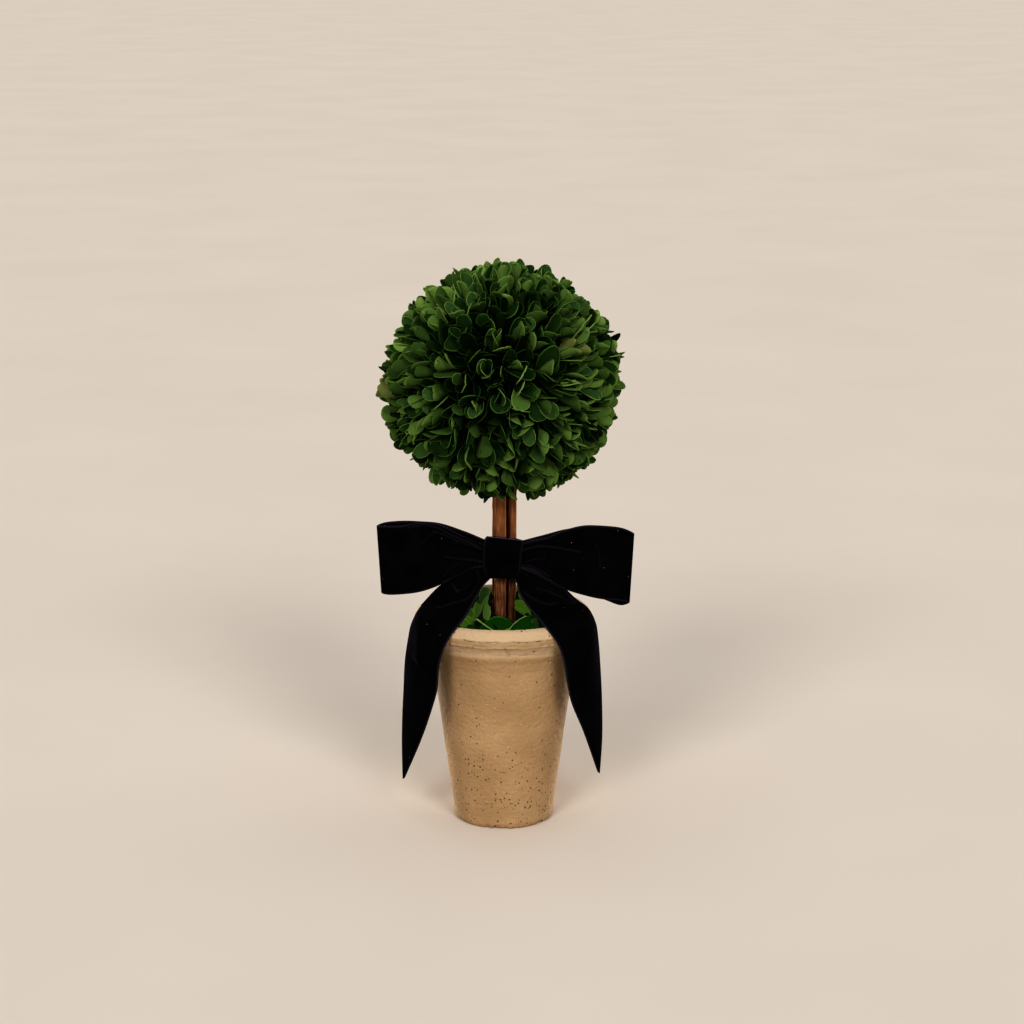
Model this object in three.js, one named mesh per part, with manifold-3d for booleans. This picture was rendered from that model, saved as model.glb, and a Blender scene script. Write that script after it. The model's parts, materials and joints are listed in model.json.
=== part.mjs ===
// A ball topiary: a clipped box ball on a bundle of sticks, in a clay pot with leaves at its foot,
// and a wide velvet bow tied round the sticks, its tails hanging over the rim of the pot.
// Millimetres, +Z up, the front towards -Y. The origin is the centre of the pot's flat underside.
import * as THREE from 'three';
import { mergeVertices } from 'three/addons/utils/BufferGeometryUtils.js';
import Module from 'manifold-3d';

const wasm = await Module();
wasm.setup();

// Gap left between pieces that rest on or in each other.
const clearance = 0.3;
const fillClearance = 0.36;
const mergeDistance = 1e-3;

// Pot: outside and inside profiles as [radius, height]. A rolled rim joins them over the top.
const potFacets = 44;
const potFloor = 9;
const potOutside = [
  [33.8, 0],
  [35.7, 1.4],
  [36.0, 3.4],
  [35.7, 7.5],
  [43.6, 66],
  [51.2, 120.5],
  [54.6, 127.4],
  [55.4, 130.0],
  [54.2, 132.8],
  [55.4, 137.2],
  [61.2, 139.2],
  [62.2, 140.4],
  [61.6, 141.6],
];
const roll = { radius: 58.2, height: 146, out: 5.0, inwards: 4.2, rise: 6.9, steps: 6 };
const rollStart = -0.16 * Math.PI;
const potInside = [
  [54.0, 146],
  [51.0, 138],
  [47.2, 124],
  [30.0, potFloor],
];
const fillTop = 142.6;

// Sticks of the trunk: centre across and in depth, radius, lean at the top, and how deep they are set.
const sticks = [
  { name: 'stem_front_left', x: -1.7, y: -2.6, radius: 3.65, lean: [0.1, 0.0] },
  { name: 'stem_front_right', x: 6.1, y: -2.5, radius: 2.6, lean: [-0.2, 0.1] },
  { name: 'stem_back_left', x: -4.9, y: 4.2, radius: 3.1, lean: [0.2, 0.0] },
  { name: 'stem_back_right', x: 2.9, y: 4.7, radius: 3.3, lean: [0.0, 0.2] },
];
const stickFoot = 106;
const stickTip = 276;
const stickSides = 12;
const stickRings = 5;
const stickTaper = 0.95;
const stickWaver = 0.12;
const stickWaves = 7;
const stickPlay = 0.5;

// A leaf's outline as shares of its length and width: root, two shoulders and a blunt end.
const leafEnd = 0.93;
const leafOutline = [
  [0, 0],
  [0.55, 0.5],
  [leafEnd, 0.3],
  [leafEnd, -0.3],
  [0.55, -0.5],
];

// Ball: a clipped mass of leaves standing out of a smaller core.
const ballCentre = 317;
const ballReach = 86.4;
const coreRadius = 70;
const coreDetail = 4;
const ballLeaves = 380;
const ballSeed = 7;
const ballRootDepth = 7;
const skinDepth = 2;
const ballLeafWidth = [11, 14];
const ballLeafThickness = 1.5;
const ballLeafCup = 0.12;
const ballTipReach = [79, ballReach];
const ballLeafLean = [0.1, 0.6];
const ballLeafRoll = 0.6;
const ballTrunkClear = 15.5;

// Foliage at the foot: runners that lie round the sticks, with upright twigs and leaves in pairs.
// Every other twig leans out towards the pot's wall and stays lower.
const sprigLeaf = [15, 9.5];
const broadLeaf = [20, 13];
const footMasses = [
  {
    name: 'foot_foliage_left', from: 98, to: 186, radius: 29, twigs: 5, rise: [14, 24],
    leaf: sprigLeaf, seed: 11,
  },
  {
    name: 'foot_foliage_right', from: -76, to: 6, radius: 29, twigs: 5, rise: [12, 20],
    leaf: sprigLeaf, seed: 23,
  },
  {
    name: 'foot_foliage_back', from: 12, to: 92, radius: 29, twigs: 5, rise: [14, 22],
    leaf: sprigLeaf, seed: 37,
  },
  {
    name: 'foot_foliage_front', from: -166, to: -84, radius: 33, twigs: 3, rise: [6, 9],
    leaf: broadLeaf, seed: 41,
  },
];
const runnerRadius = 1.3;
const runnerSides = 5;
const runnerSteps = 6;
const runnerWander = 3;
const runnerStations = [0.04, 0.35, 0.65, 0.96];
const twigRadius = 0.75;
const twigTaper = 0.6;
const twigSides = 3;
const twigLeanOut = [9, 14];
const twigLeanIn = [-5, 0];
const twigLeanAcross = 5;
const lowTwigShare = 0.5;
const pairSpacing = 6.4;
const pairPlace = 0.8;
const pairWander = 0.4;
const leafRise = [0.1, 0.9];
const leafVariety = [0.85, 1.15];
const footLeafThickness = 0.9;
const footLeafCup = 0.15;
const footReach = 51;
const footStickClear = 11.5;
const footCeiling = { height: 175, from: 14, slope: 0.62 };

// Bow: one ribbon width, gathered at the knot. Stations run along the ribbon.
const ribbonThickness = 1.4;
const ribbonAcross = 4;
const knotLevels = [
  { height: 178.6, left: -10.7, right: 9.5, front: -15.2, tilt: 0.02 },
  { height: 182.5, left: -12.4, right: 11.2, front: -16.4, tilt: 0.03 },
  { height: 188, left: -13.5, right: 12.2, front: -16.8, tilt: 0.05 },
  { height: 196, left: -13.9, right: 12.6, front: -16.9, tilt: 0.07 },
  { height: 202.5, left: -13.8, right: 13.0, front: -16.6, tilt: 0.09 },
  { height: 206.6, left: -12.6, right: 12.9, front: -15.8, tilt: 0.1 },
  { height: 207.8, left: -11.2, right: 12.0, front: -14.6, tilt: 0.1 },
];
const knotBack = -8.5;
const knotRoundness = 5;
const knotFacets = 20;
const bandBottom = 184.5;
const bandTop = 202;
const bandFacets = 40;
const bandClearance = 0.5;

// Loops: [x, y, top, bottom] from the front of the knot round the fold to its back.
const leftLoop = [
  [-14.6, -12.6, 202.0, 187.6],
  [-22.0, -15.6, 205.8, 186.6],
  [-33.0, -19.4, 212.4, 181.6],
  [-45.5, -22.4, 219.2, 175.8],
  [-58.0, -24.0, 220.4, 172.0],
  [-71.0, -23.6, 218.2, 170.2],
  [-81.6, -20.0, 217.2, 168.8],
  [-86.6, -13.2, 216.2, 168.2],
  [-82.0, -7.0, 217.6, 168.8],
  [-70.5, -5.0, 218.2, 170.4],
  [-57.5, -5.0, 217.4, 172.4],
  [-44.5, -6.0, 216.2, 176.4],
  [-28.0, -8.2, 211.0, 183.6],
  [-14.8, -9.6, 205.6, 188.6],
];
const rightLoop = [
  [13.9, -12.6, 203.6, 187.0],
  [20.5, -15.2, 206.2, 185.2],
  [30.5, -18.6, 209.0, 180.2],
  [42.0, -21.4, 214.4, 173.6],
  [55.0, -23.4, 218.2, 169.8],
  [68.5, -23.6, 218.2, 166.8],
  [81.6, -20.0, 215.6, 164.4],
  [88.8, -13.2, 210.4, 160.6],
  [83.0, -6.6, 209.8, 157.8],
  [72.0, -5.0, 211.0, 158.4],
  [58.0, -5.2, 212.0, 162.4],
  [44.0, -6.4, 211.4, 170.4],
  [28.0, -8.4, 207.6, 180.4],
  [14.0, -9.6, 204.6, 188.0],
];
const foldLean = 1.3;
const loopSteps = 24;
const loopCrown = 1.2;

// Tails: the outer edge, then the inner edge, then how far the middle stands out between them.
const leftTail = [
  { outer: [-15.2, -12.4, 186.4], inner: [-11.6, -13.0, 177.6], crown: 0.6 },
  { outer: [-22.4, -14.6, 185.6], inner: [-12.8, -18.0, 175.4], crown: 1.6 },
  { outer: [-33.0, -17.2, 180.6], inner: [-14.6, -25.0, 174.6], crown: 2.6 },
  { outer: [-43.0, -18.0, 174.8], inner: [-17.2, -32.4, 172.0], crown: 3.2 },
  { outer: [-52.7, -16.0, 164.4], inner: [-21.6, -40.6, 165.0], crown: 4.2 },
  { outer: [-59.6, -13.4, 155.2], inner: [-27.6, -48.4, 158.6], crown: 6.2 },
  { outer: [-64.4, -12.2, 145.2], inner: [-35.6, -54.0, 149.8], crown: 7.2 },
  { outer: [-67.0, -11.4, 132.0], inner: [-40.9, -54.2, 139.4], crown: 5.0 },
  { outer: [-69.0, -11.0, 117.0], inner: [-44.3, -54.2, 127.6], crown: 2.6 },
  { outer: [-70.2, -11.0, 96.0], inner: [-45.8, -54.0, 110.6], crown: 1.4 },
  { outer: [-71.2, -10.8, 78.0], inner: [-49.6, -47.0, 94.6], crown: 1.0 },
  { outer: [-71.8, -10.4, 56.0], inner: [-57.4, -34.6, 68.4], crown: 0.6 },
  { outer: [-71.6, -10.0, 29.0], inner: [-70.8, -11.4, 30.2], crown: 0.0 },
];
const rightTail = [
  { outer: [13.9, -12.6, 185.4], inner: [10.3, -13.0, 177.0], crown: 0.6 },
  { outer: [20.0, -15.0, 183.8], inner: [9.8, -18.0, 176.0], crown: 1.6 },
  { outer: [30.4, -17.4, 179.0], inner: [10.4, -25.4, 175.6], crown: 2.6 },
  { outer: [41.6, -17.4, 172.2], inner: [12.4, -33.0, 172.2], crown: 3.4 },
  { outer: [50.6, -15.0, 163.4], inner: [17.4, -40.6, 165.6], crown: 4.4 },
  { outer: [59.0, -13.2, 156.2], inner: [23.4, -47.8, 160.2], crown: 6.4 },
  { outer: [64.2, -12.8, 145.8], inner: [31.0, -53.9, 152.6], crown: 7.6 },
  { outer: [66.2, -12.4, 133.4], inner: [38.0, -54.8, 142.2], crown: 6.4 },
  { outer: [67.6, -12.0, 116.6], inner: [41.7, -54.4, 131.4], crown: 3.6 },
  { outer: [68.6, -11.8, 100.6], inner: [43.9, -53.6, 117.6], crown: 2.2 },
  { outer: [69.3, -11.4, 84.4], inner: [47.0, -48.6, 100.6], crown: 1.4 },
  { outer: [69.6, -11.0, 60.0], inner: [56.4, -34.0, 72.6], crown: 0.8 },
  { outer: [68.2, -10.4, 33.4], inner: [67.4, -11.8, 34.6], crown: 0.0 },
];
const tailSteps = 22;

const clay = new THREE.MeshStandardMaterial({ color: '#ac8458', roughness: 0.95, metalness: 0 });
const filling = new THREE.MeshStandardMaterial({ color: '#2a2218', roughness: 1, metalness: 0 });
const bark = new THREE.MeshStandardMaterial({ color: '#6e3e24', roughness: 0.85, metalness: 0 });
const leafGreen = new THREE.MeshStandardMaterial({ color: '#2c4c1e', roughness: 0.6, metalness: 0 });
const footGreen = new THREE.MeshStandardMaterial({ color: '#3e6628', roughness: 0.55, metalness: 0 });
const velvet = new THREE.MeshStandardMaterial({ color: '#060508', roughness: 1, metalness: 0 });

// A repeatable stream of numbers from 0 to 1.
function seededNumbers(seed) {
  let state = seed;
  return () => {
    state = (state + 0x6d2b79f5) | 0;
    let t = Math.imul(state ^ (state >>> 15), 1 | state);
    t = (t + Math.imul(t ^ (t >>> 7), 61 | t)) ^ t;
    return ((t ^ (t >>> 14)) >>> 0) / 4294967296;
  };
}

function between(range, share) {
  return range[0] + (range[1] - range[0]) * share;
}

// Turns a closed skin so that its faces point out.
function outwards(geometry) {
  const position = geometry.attributes.position;
  const index = geometry.index.array;
  const corner = [0, 1, 2].map(() => new THREE.Vector3());
  let volume = 0;
  for (let face = 0; face < index.length; face += 3) {
    corner.forEach((point, c) => point.fromBufferAttribute(position, index[face + c]));
    volume += corner[0].dot(corner[1].clone().cross(corner[2]));
  }
  if (volume < 0) {
    for (let face = 0; face < index.length; face += 3) {
      [index[face + 1], index[face + 2]] = [index[face + 2], index[face + 1]];
    }
  }
  return geometry;
}

function meshFrom(points, faces) {
  const geometry = new THREE.BufferGeometry();
  const flat = points.flatMap((point) => [point.x, point.y, point.z]);
  geometry.setAttribute('position', new THREE.Float32BufferAttribute(flat, 3));
  geometry.setIndex(faces.flat());
  return outwards(geometry);
}

function solidFrom(geometry) {
  const bare = geometry.clone();
  bare.deleteAttribute('normal');
  bare.deleteAttribute('uv');
  const merged = mergeVertices(bare, mergeDistance);
  const vertProperties = new Float32Array(merged.attributes.position.array);
  const triVerts = new Uint32Array(merged.index.array);
  return new wasm.Manifold(new wasm.Mesh({ numProp: 3, vertProperties, triVerts }));
}

function geometryFrom(solid) {
  const mesh = solid.getMesh();
  const geometry = new THREE.BufferGeometry();
  geometry.setAttribute('position', new THREE.Float32BufferAttribute(mesh.vertProperties, 3));
  geometry.setIndex(new THREE.Uint32BufferAttribute(mesh.triVerts, 1));
  return geometry;
}

function largest(bodies) {
  return bodies.reduce((best, body) => (body.volume() > best.volume() ? body : best));
}

// The one outer body of a solid, without loose scraps or sealed hollows, at the precision of its mesh.
function mainBody(solid) {
  const outer = largest(solid.decompose());
  return largest(solidFrom(geometryFrom(outer)).decompose());
}

function fuse(core, growths) {
  return growths.reduce((joined, growth) => joined.add(growth), core);
}

function piece(name, geometry, material) {
  geometry.computeVertexNormals();
  const mesh = new THREE.Mesh(geometry, material);
  mesh.name = name;
  return mesh;
}

// A closed skin over rings that all have the same number of points, with a fan at each end.
function loft(rings) {
  const sides = rings[0].length;
  const points = rings.flat();
  const faces = [];
  for (let ring = 0; ring < rings.length - 1; ring += 1) {
    for (let side = 0; side < sides; side += 1) {
      const next = (side + 1) % sides;
      const a = ring * sides + side;
      const b = ring * sides + next;
      faces.push([a, b, b + sides], [a, b + sides, a + sides]);
    }
  }
  const last = (rings.length - 1) * sides;
  for (let side = 1; side < sides - 1; side += 1) {
    faces.push([0, side + 1, side], [last, last + side, last + side + 1]);
  }
  return meshFrom(points, faces);
}

// A tapering limb along a path, with a ring of the given number of sides at each step.
function limb(path, radiusAt, sides, steps) {
  const frames = path.computeFrenetFrames(steps, false);
  const rings = [];
  for (let step = 0; step <= steps; step += 1) {
    const share = step / steps;
    const centre = path.getPoint(share);
    const ring = [];
    for (let side = 0; side < sides; side += 1) {
      const angle = (2 * Math.PI * side) / sides;
      const arm = frames.normals[step].clone().multiplyScalar(Math.cos(angle) * radiusAt(share));
      arm.addScaledVector(frames.binormals[step], Math.sin(angle) * radiusAt(share));
      ring.push(centre.clone().add(arm));
    }
    rings.push(ring);
  }
  return loft(rings);
}

function spin(profile, facets) {
  const points = profile.map(([radius, height]) => new THREE.Vector2(radius, height));
  return new THREE.LatheGeometry(points, facets).rotateX(Math.PI / 2);
}

// The rolled rim, from just above the ridge over the crest to the top of the inner wall.
function rollPoints() {
  const points = [];
  for (let step = 0; step < roll.steps; step += 1) {
    const angle = rollStart + ((Math.PI - rollStart) * step) / roll.steps;
    const reach = Math.cos(angle) > 0 ? roll.out : roll.inwards;
    points.push([roll.radius + reach * Math.cos(angle), roll.height + roll.rise * Math.sin(angle)]);
  }
  return points;
}

function makePot() {
  const profile = [[0, 0], ...potOutside, ...rollPoints(), ...potInside, [0, potFloor]];
  return piece('pot', spin(profile, potFacets), clay);
}

// Radius of the pot's inner wall at a height between its floor and its neck.
function insideRadius(height) {
  const walls = [...potInside].reverse();
  const upper = walls.findIndex((point) => point[1] >= height);
  const [lowRadius, lowHeight] = walls[upper - 1];
  const [highRadius, highHeight] = walls[upper];
  return lowRadius + ((highRadius - lowRadius) * (height - lowHeight)) / (highHeight - lowHeight);
}

function stickPath(stick, from, to) {
  const points = [];
  for (let step = 0; step <= stickRings; step += 1) {
    const share = step / stickRings;
    const waver = stickWaver * Math.sin(share * stickWaves + stick.x);
    points.push(new THREE.Vector3(
      stick.x + stick.lean[0] * share + waver,
      stick.y + stick.lean[1] * share - waver,
      from + (to - from) * share,
    ));
  }
  return new THREE.CatmullRomCurve3(points);
}

function stickSolid(stick, extra) {
  const path = stickPath(stick, stickFoot, stickTip);
  const radiusAt = (share) => stick.radius * (1 - (1 - stickTaper) * share) + extra;
  return limb(path, radiusAt, stickSides, stickRings);
}

function makeSticks() {
  return sticks.map((stick) => piece(stick.name, stickSolid(stick, 0), bark));
}

// The space round a stick that the filling and the ball's core leave open.
function socket(stick) {
  const radius = stick.radius + clearance + stickPlay;
  const height = stickTip - stickFoot + 2 * clearance;
  const bore = new THREE.CylinderGeometry(radius, radius, height, stickSides);
  bore.rotateX(Math.PI / 2);
  bore.translate(stick.x + stick.lean[0] / 2, stick.y + stick.lean[1] / 2, (stickFoot + stickTip) / 2);
  return solidFrom(bore);
}

function cutSockets(solid) {
  return sticks.reduce((left, stick) => left.subtract(socket(stick)), solid);
}

function makeFilling() {
  const walls = potInside.filter((point) => point[1] < fillTop).reverse();
  const sides = walls.map(([radius, height]) => [radius - fillClearance, height]);
  const low = potFloor + clearance;
  const top = insideRadius(fillTop) - fillClearance;
  const profile = [[0, low], [sides[0][0], low], ...sides.slice(1), [top, fillTop], [0, fillTop]];
  const solid = cutSockets(solidFrom(spin(profile, potFacets)));
  return piece('pot_fill', geometryFrom(solid), filling);
}

// A leaf of ten faces: root, two shoulders, a blunt end, and a rib above and below.
function leafBlade(length, width, thickness, cup) {
  const points = leafOutline.map(([along, across]) => (
    new THREE.Vector3(along * length, across * width, cup * Math.abs(across) * width)
  ));
  points.push(new THREE.Vector3(length / 2, 0, thickness / 2));
  points.push(new THREE.Vector3(length / 2, 0, -thickness / 2));
  const faces = [];
  const corners = leafOutline.length;
  for (let corner = 0; corner < corners; corner += 1) {
    const next = (corner + 1) % corners;
    faces.push([corner, next, corners], [next, corner, corners + 1]);
  }
  return meshFrom(points, faces);
}

// Places a leaf so that it grows from its root along one direction, with its face turned to another.
function placeLeaf(blade, root, along, face) {
  const axis = along.clone().normalize();
  const side = new THREE.Vector3().crossVectors(face, axis).normalize();
  const normal = new THREE.Vector3().crossVectors(axis, side);
  const matrix = new THREE.Matrix4().makeBasis(axis, side, normal).setPosition(root);
  return blade.clone().applyMatrix4(matrix);
}

function everyPoint(geometry, test) {
  const position = geometry.attributes.position;
  for (let index = 0; index < position.count; index += 1) {
    if (!test(new THREE.Vector3().fromBufferAttribute(position, index))) {
      return false;
    }
  }
  return true;
}

// Directions spread evenly over a ball, one to each leaf.
function spreadDirection(index, count) {
  const height = 1 - (2 * (index + 0.5)) / count;
  const ring = Math.sqrt(1 - height * height);
  const turn = index * Math.PI * (3 - Math.sqrt(5));
  return new THREE.Vector3(ring * Math.cos(turn), ring * Math.sin(turn), height);
}

function leanFrom(direction, turn) {
  const helper = Math.abs(direction.z) > 0.9 ? new THREE.Vector3(1, 0, 0) : new THREE.Vector3(0, 0, 1);
  const east = new THREE.Vector3().crossVectors(helper, direction).normalize();
  return east.applyAxisAngle(direction, turn);
}

function clearOfSticks(point) {
  const besideTrunk = Math.hypot(point.x, point.y) > ballTrunkClear;
  return point.z > 0 || besideTrunk || point.length() < coreRadius - skinDepth;
}

function ballLeaf(index, random) {
  const direction = spreadDirection(index, ballLeaves);
  const sideways = leanFrom(direction, random() * 2 * Math.PI);
  const along = direction.clone().addScaledVector(sideways, between(ballLeafLean, random())).normalize();
  const root = direction.clone().multiplyScalar(coreRadius - ballRootDepth);
  const tip = between(ballTipReach, random());
  const slope = root.dot(along);
  const length = (-slope + Math.sqrt(slope * slope + tip * tip - root.lengthSq())) / leafEnd;
  const blade = leafBlade(length, between(ballLeafWidth, random()), ballLeafThickness, ballLeafCup);
  const face = direction.clone().addScaledVector(leanFrom(along, random() * 2 * Math.PI), ballLeafRoll);
  return placeLeaf(blade, root, along, face);
}

function makeBall() {
  const random = seededNumbers(ballSeed);
  const leaves = [];
  for (let index = 0; index < ballLeaves; index += 1) {
    const leaf = ballLeaf(index, random);
    if (everyPoint(leaf, (point) => clearOfSticks(point) && point.length() <= ballReach)) {
      leaves.push(solidFrom(leaf));
    }
  }
  const core = solidFrom(new THREE.IcosahedronGeometry(coreRadius, coreDetail));
  const raised = mainBody(fuse(core, leaves)).translate([0, 0, ballCentre]);
  const cut = mainBody(cutSockets(raised)).translate([0, 0, -ballCentre]);
  const mass = piece('foliage_ball', geometryFrom(cut), leafGreen);
  mass.position.z = ballCentre;
  return mass;
}

function footCeilingAt(point) {
  const radius = Math.hypot(point.x, point.y);
  return footCeiling.height - footCeiling.slope * Math.max(0, radius - footCeiling.from);
}

function insideFoot(mass) {
  const middle = THREE.MathUtils.degToRad((mass.from + mass.to) / 2);
  const spread = THREE.MathUtils.degToRad((mass.to - mass.from) / 2 + 2);
  return (point) => {
    const radius = Math.hypot(point.x, point.y);
    const turn = Math.atan2(point.y, point.x) - middle;
    const away = Math.abs(Math.atan2(Math.sin(turn), Math.cos(turn)));
    return radius < footReach
      && radius > footStickClear
      && away < spread
      && point.z > fillTop + clearance
      && point.z < footCeilingAt(point);
  };
}

function ringPoint(radius, degrees, height) {
  const angle = THREE.MathUtils.degToRad(degrees);
  return new THREE.Vector3(radius * Math.cos(angle), radius * Math.sin(angle), height);
}

function footRunner(mass, random) {
  const low = fillTop + clearance + runnerRadius;
  const route = runnerStations.map((share) => (
    ringPoint(mass.radius + runnerWander * (random() - 0.5), between([mass.from, mass.to], share), low)
  ));
  return new THREE.CatmullRomCurve3(route);
}

function footTwig(mass, number, start, random) {
  const leansOut = number % 2 === 0;
  const outward = new THREE.Vector3(start.x, start.y, 0).normalize();
  const across = new THREE.Vector3(-outward.y, outward.x, 0);
  const end = start.clone()
    .addScaledVector(outward, between(leansOut ? twigLeanOut : twigLeanIn, random()))
    .addScaledVector(across, between([-twigLeanAcross, twigLeanAcross], random()));
  end.z += between(mass.rise, random()) * (leansOut ? lowTwigShare : 1);
  return new THREE.LineCurve3(start, end);
}

function twigRadiusAt(share) {
  return twigRadius * (1 + twigTaper * (0.5 - share));
}

// Leaves in pairs along a twig, each pair turned a quarter round from the last.
function pairedLeaves(mass, twig, random) {
  const leaves = [];
  const pairs = Math.max(2, Math.round(twig.getLength() / pairSpacing));
  const turn = random() * Math.PI;
  for (let pair = 0; pair < pairs; pair += 1) {
    const root = twig.getPoint((pair + pairPlace) / pairs);
    for (let half = 0; half < 2; half += 1) {
      const angle = turn + (pair * Math.PI) / 2 + half * Math.PI + pairWander * (random() - 0.5);
      const along = new THREE.Vector3(Math.cos(angle), Math.sin(angle), between(leafRise, random()));
      const length = mass.leaf[0] * between(leafVariety, random());
      const blade = leafBlade(length, mass.leaf[1], footLeafThickness, footLeafCup);
      leaves.push(placeLeaf(blade, root, along, new THREE.Vector3(0, 0, 1)));
    }
  }
  return leaves;
}

function makeFootMass(mass) {
  const random = seededNumbers(mass.seed);
  const inside = insideFoot(mass);
  const runner = footRunner(mass, random);
  const growths = [];
  for (let number = 0; number < mass.twigs; number += 1) {
    const twig = footTwig(mass, number, runner.getPoint((number + 0.5) / mass.twigs), random);
    growths.push(solidFrom(limb(twig, twigRadiusAt, twigSides, 1)));
    const leaves = pairedLeaves(mass, twig, random).filter((leaf) => everyPoint(leaf, inside));
    growths.push(...leaves.map(solidFrom));
  }
  const stem = solidFrom(limb(runner, () => runnerRadius, runnerSides, runnerSteps));
  return piece(mass.name, geometryFrom(mainBody(fuse(stem, growths))), footGreen);
}

// A ribbon's closed body from its middle surface: rows run along it, columns across it.
function ribbonBody(rows) {
  const columns = rows[0].length;
  const normals = rows.map((row, r) => row.map((point, c) => {
    const ahead = rows[Math.min(r + 1, rows.length - 1)][c].clone();
    const along = ahead.sub(rows[Math.max(r - 1, 0)][c]);
    const across = row[Math.min(c + 1, columns - 1)].clone().sub(row[Math.max(c - 1, 0)]);
    return along.cross(across).normalize();
  }));
  const rings = rows.map((row, r) => {
    const face = row.map((point, c) => point.clone().addScaledVector(normals[r][c], ribbonThickness / 2));
    const back = row.map((point, c) => point.clone().addScaledVector(normals[r][c], -ribbonThickness / 2));
    return [...face, ...back.reverse()];
  });
  return loft(rings);
}

function smoothPath(points) {
  return new THREE.CatmullRomCurve3(points, false, 'centripetal');
}

// The loop's two edges follow the stations. Its fold leans in a little towards the bottom.
function loopRows(stations) {
  const widest = Math.max(...stations.map((station) => Math.abs(station[0])));
  const lean = (station) => foldLean * (Math.abs(station[0]) / widest) ** 4 * Math.sign(station[0]);
  const top = smoothPath(stations.map((s) => new THREE.Vector3(s[0], s[1], s[2])));
  const bottom = smoothPath(stations.map((s) => new THREE.Vector3(s[0] - lean(s), s[1], s[3])));
  const rows = [];
  for (let step = 0; step <= loopSteps; step += 1) {
    const share = step / loopSteps;
    rows.push(crownedRow(top.getPoint(share), bottom.getPoint(share), loopCrown, share * 2 * Math.PI));
  }
  return rows;
}

// Points from one edge to the other. The middle of a loop's panels stands away from its inside.
function crownedRow(first, last, crown, turn) {
  const row = [];
  for (let column = 0; column <= ribbonAcross; column += 1) {
    const share = column / ribbonAcross;
    const point = first.clone().lerp(last, share);
    point.y -= crown * Math.sin(Math.PI * share) * Math.cos(turn / 2);
    row.push(point);
  }
  return row;
}

function tailRows(stations) {
  const outer = smoothPath(stations.map((station) => new THREE.Vector3(...station.outer)));
  const inner = smoothPath(stations.map((station) => new THREE.Vector3(...station.inner)));
  const crown = smoothPath(stations.map((station, index) => new THREE.Vector3(index, station.crown, 0)));
  const rows = [];
  for (let step = 0; step <= tailSteps; step += 1) {
    const share = step / tailSteps;
    const first = outer.getPoint(share);
    const last = inner.getPoint(share);
    const out = first.clone().add(last).setZ(0).normalize();
    const lift = Math.max(0, crown.getPoint(share).y);
    const row = [];
    for (let column = 0; column <= ribbonAcross; column += 1) {
      const across = column / ribbonAcross;
      const point = first.clone().lerp(last, across);
      row.push(point.addScaledVector(out, lift * 4 * across * (1 - across)));
    }
    rows.push(row);
  }
  return rows;
}

function knotRing(level) {
  const ring = [];
  const middle = (level.left + level.right) / 2;
  const half = (level.right - level.left) / 2;
  const depth = (knotBack - level.front) / 2;
  for (let side = 0; side < knotFacets; side += 1) {
    const angle = (2 * Math.PI * side) / knotFacets;
    const bluntX = Math.sign(Math.cos(angle)) * Math.abs(Math.cos(angle)) ** (2 / knotRoundness);
    const bluntY = Math.sign(Math.sin(angle)) * Math.abs(Math.sin(angle)) ** (2 / knotRoundness);
    const x = middle + half * bluntX;
    ring.push(new THREE.Vector3(x, knotBack - depth + depth * bluntY, level.height - level.tilt * x));
  }
  return ring;
}

// The outline round all the sticks, standing off them by the given distance.
function bundleOutline(away) {
  const points = [];
  for (let side = 0; side < bandFacets; side += 1) {
    const angle = (2 * Math.PI * side) / bandFacets;
    const reach = (stick) => stick.x * Math.cos(angle) + stick.y * Math.sin(angle) + stick.radius;
    const stick = sticks.reduce((best, next) => (reach(next) > reach(best) ? next : best));
    points.push(new THREE.Vector2(
      stick.x + (stick.radius + away) * Math.cos(angle),
      stick.y + (stick.radius + away) * Math.sin(angle),
    ));
  }
  return points;
}

function makeBand() {
  const shape = new THREE.Shape(bundleOutline(bandClearance + ribbonThickness));
  shape.holes.push(new THREE.Path(bundleOutline(bandClearance)));
  const ring = new THREE.ExtrudeGeometry(shape, { depth: bandTop - bandBottom, bevelEnabled: false });
  const band = piece('bow_band', ring, velvet);
  band.position.z = bandBottom;
  return band;
}

function makeBow() {
  const bow = new THREE.Group();
  bow.add(makeBand());
  bow.add(piece('bow_knot', loft(knotLevels.map(knotRing)), velvet));
  bow.add(piece('bow_loop_left', ribbonBody(loopRows(leftLoop)), velvet));
  bow.add(piece('bow_loop_right', ribbonBody(loopRows(rightLoop)), velvet));
  bow.add(piece('bow_tail_left', ribbonBody(tailRows(leftTail)), velvet));
  bow.add(piece('bow_tail_right', ribbonBody(tailRows(rightTail)), velvet));
  return bow;
}

const topiary = new THREE.Group();
topiary.add(makePot(), makeFilling(), ...makeSticks(), makeBall());
topiary.add(...footMasses.map(makeFootMass));
topiary.add(makeBow());

export default topiary;
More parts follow.
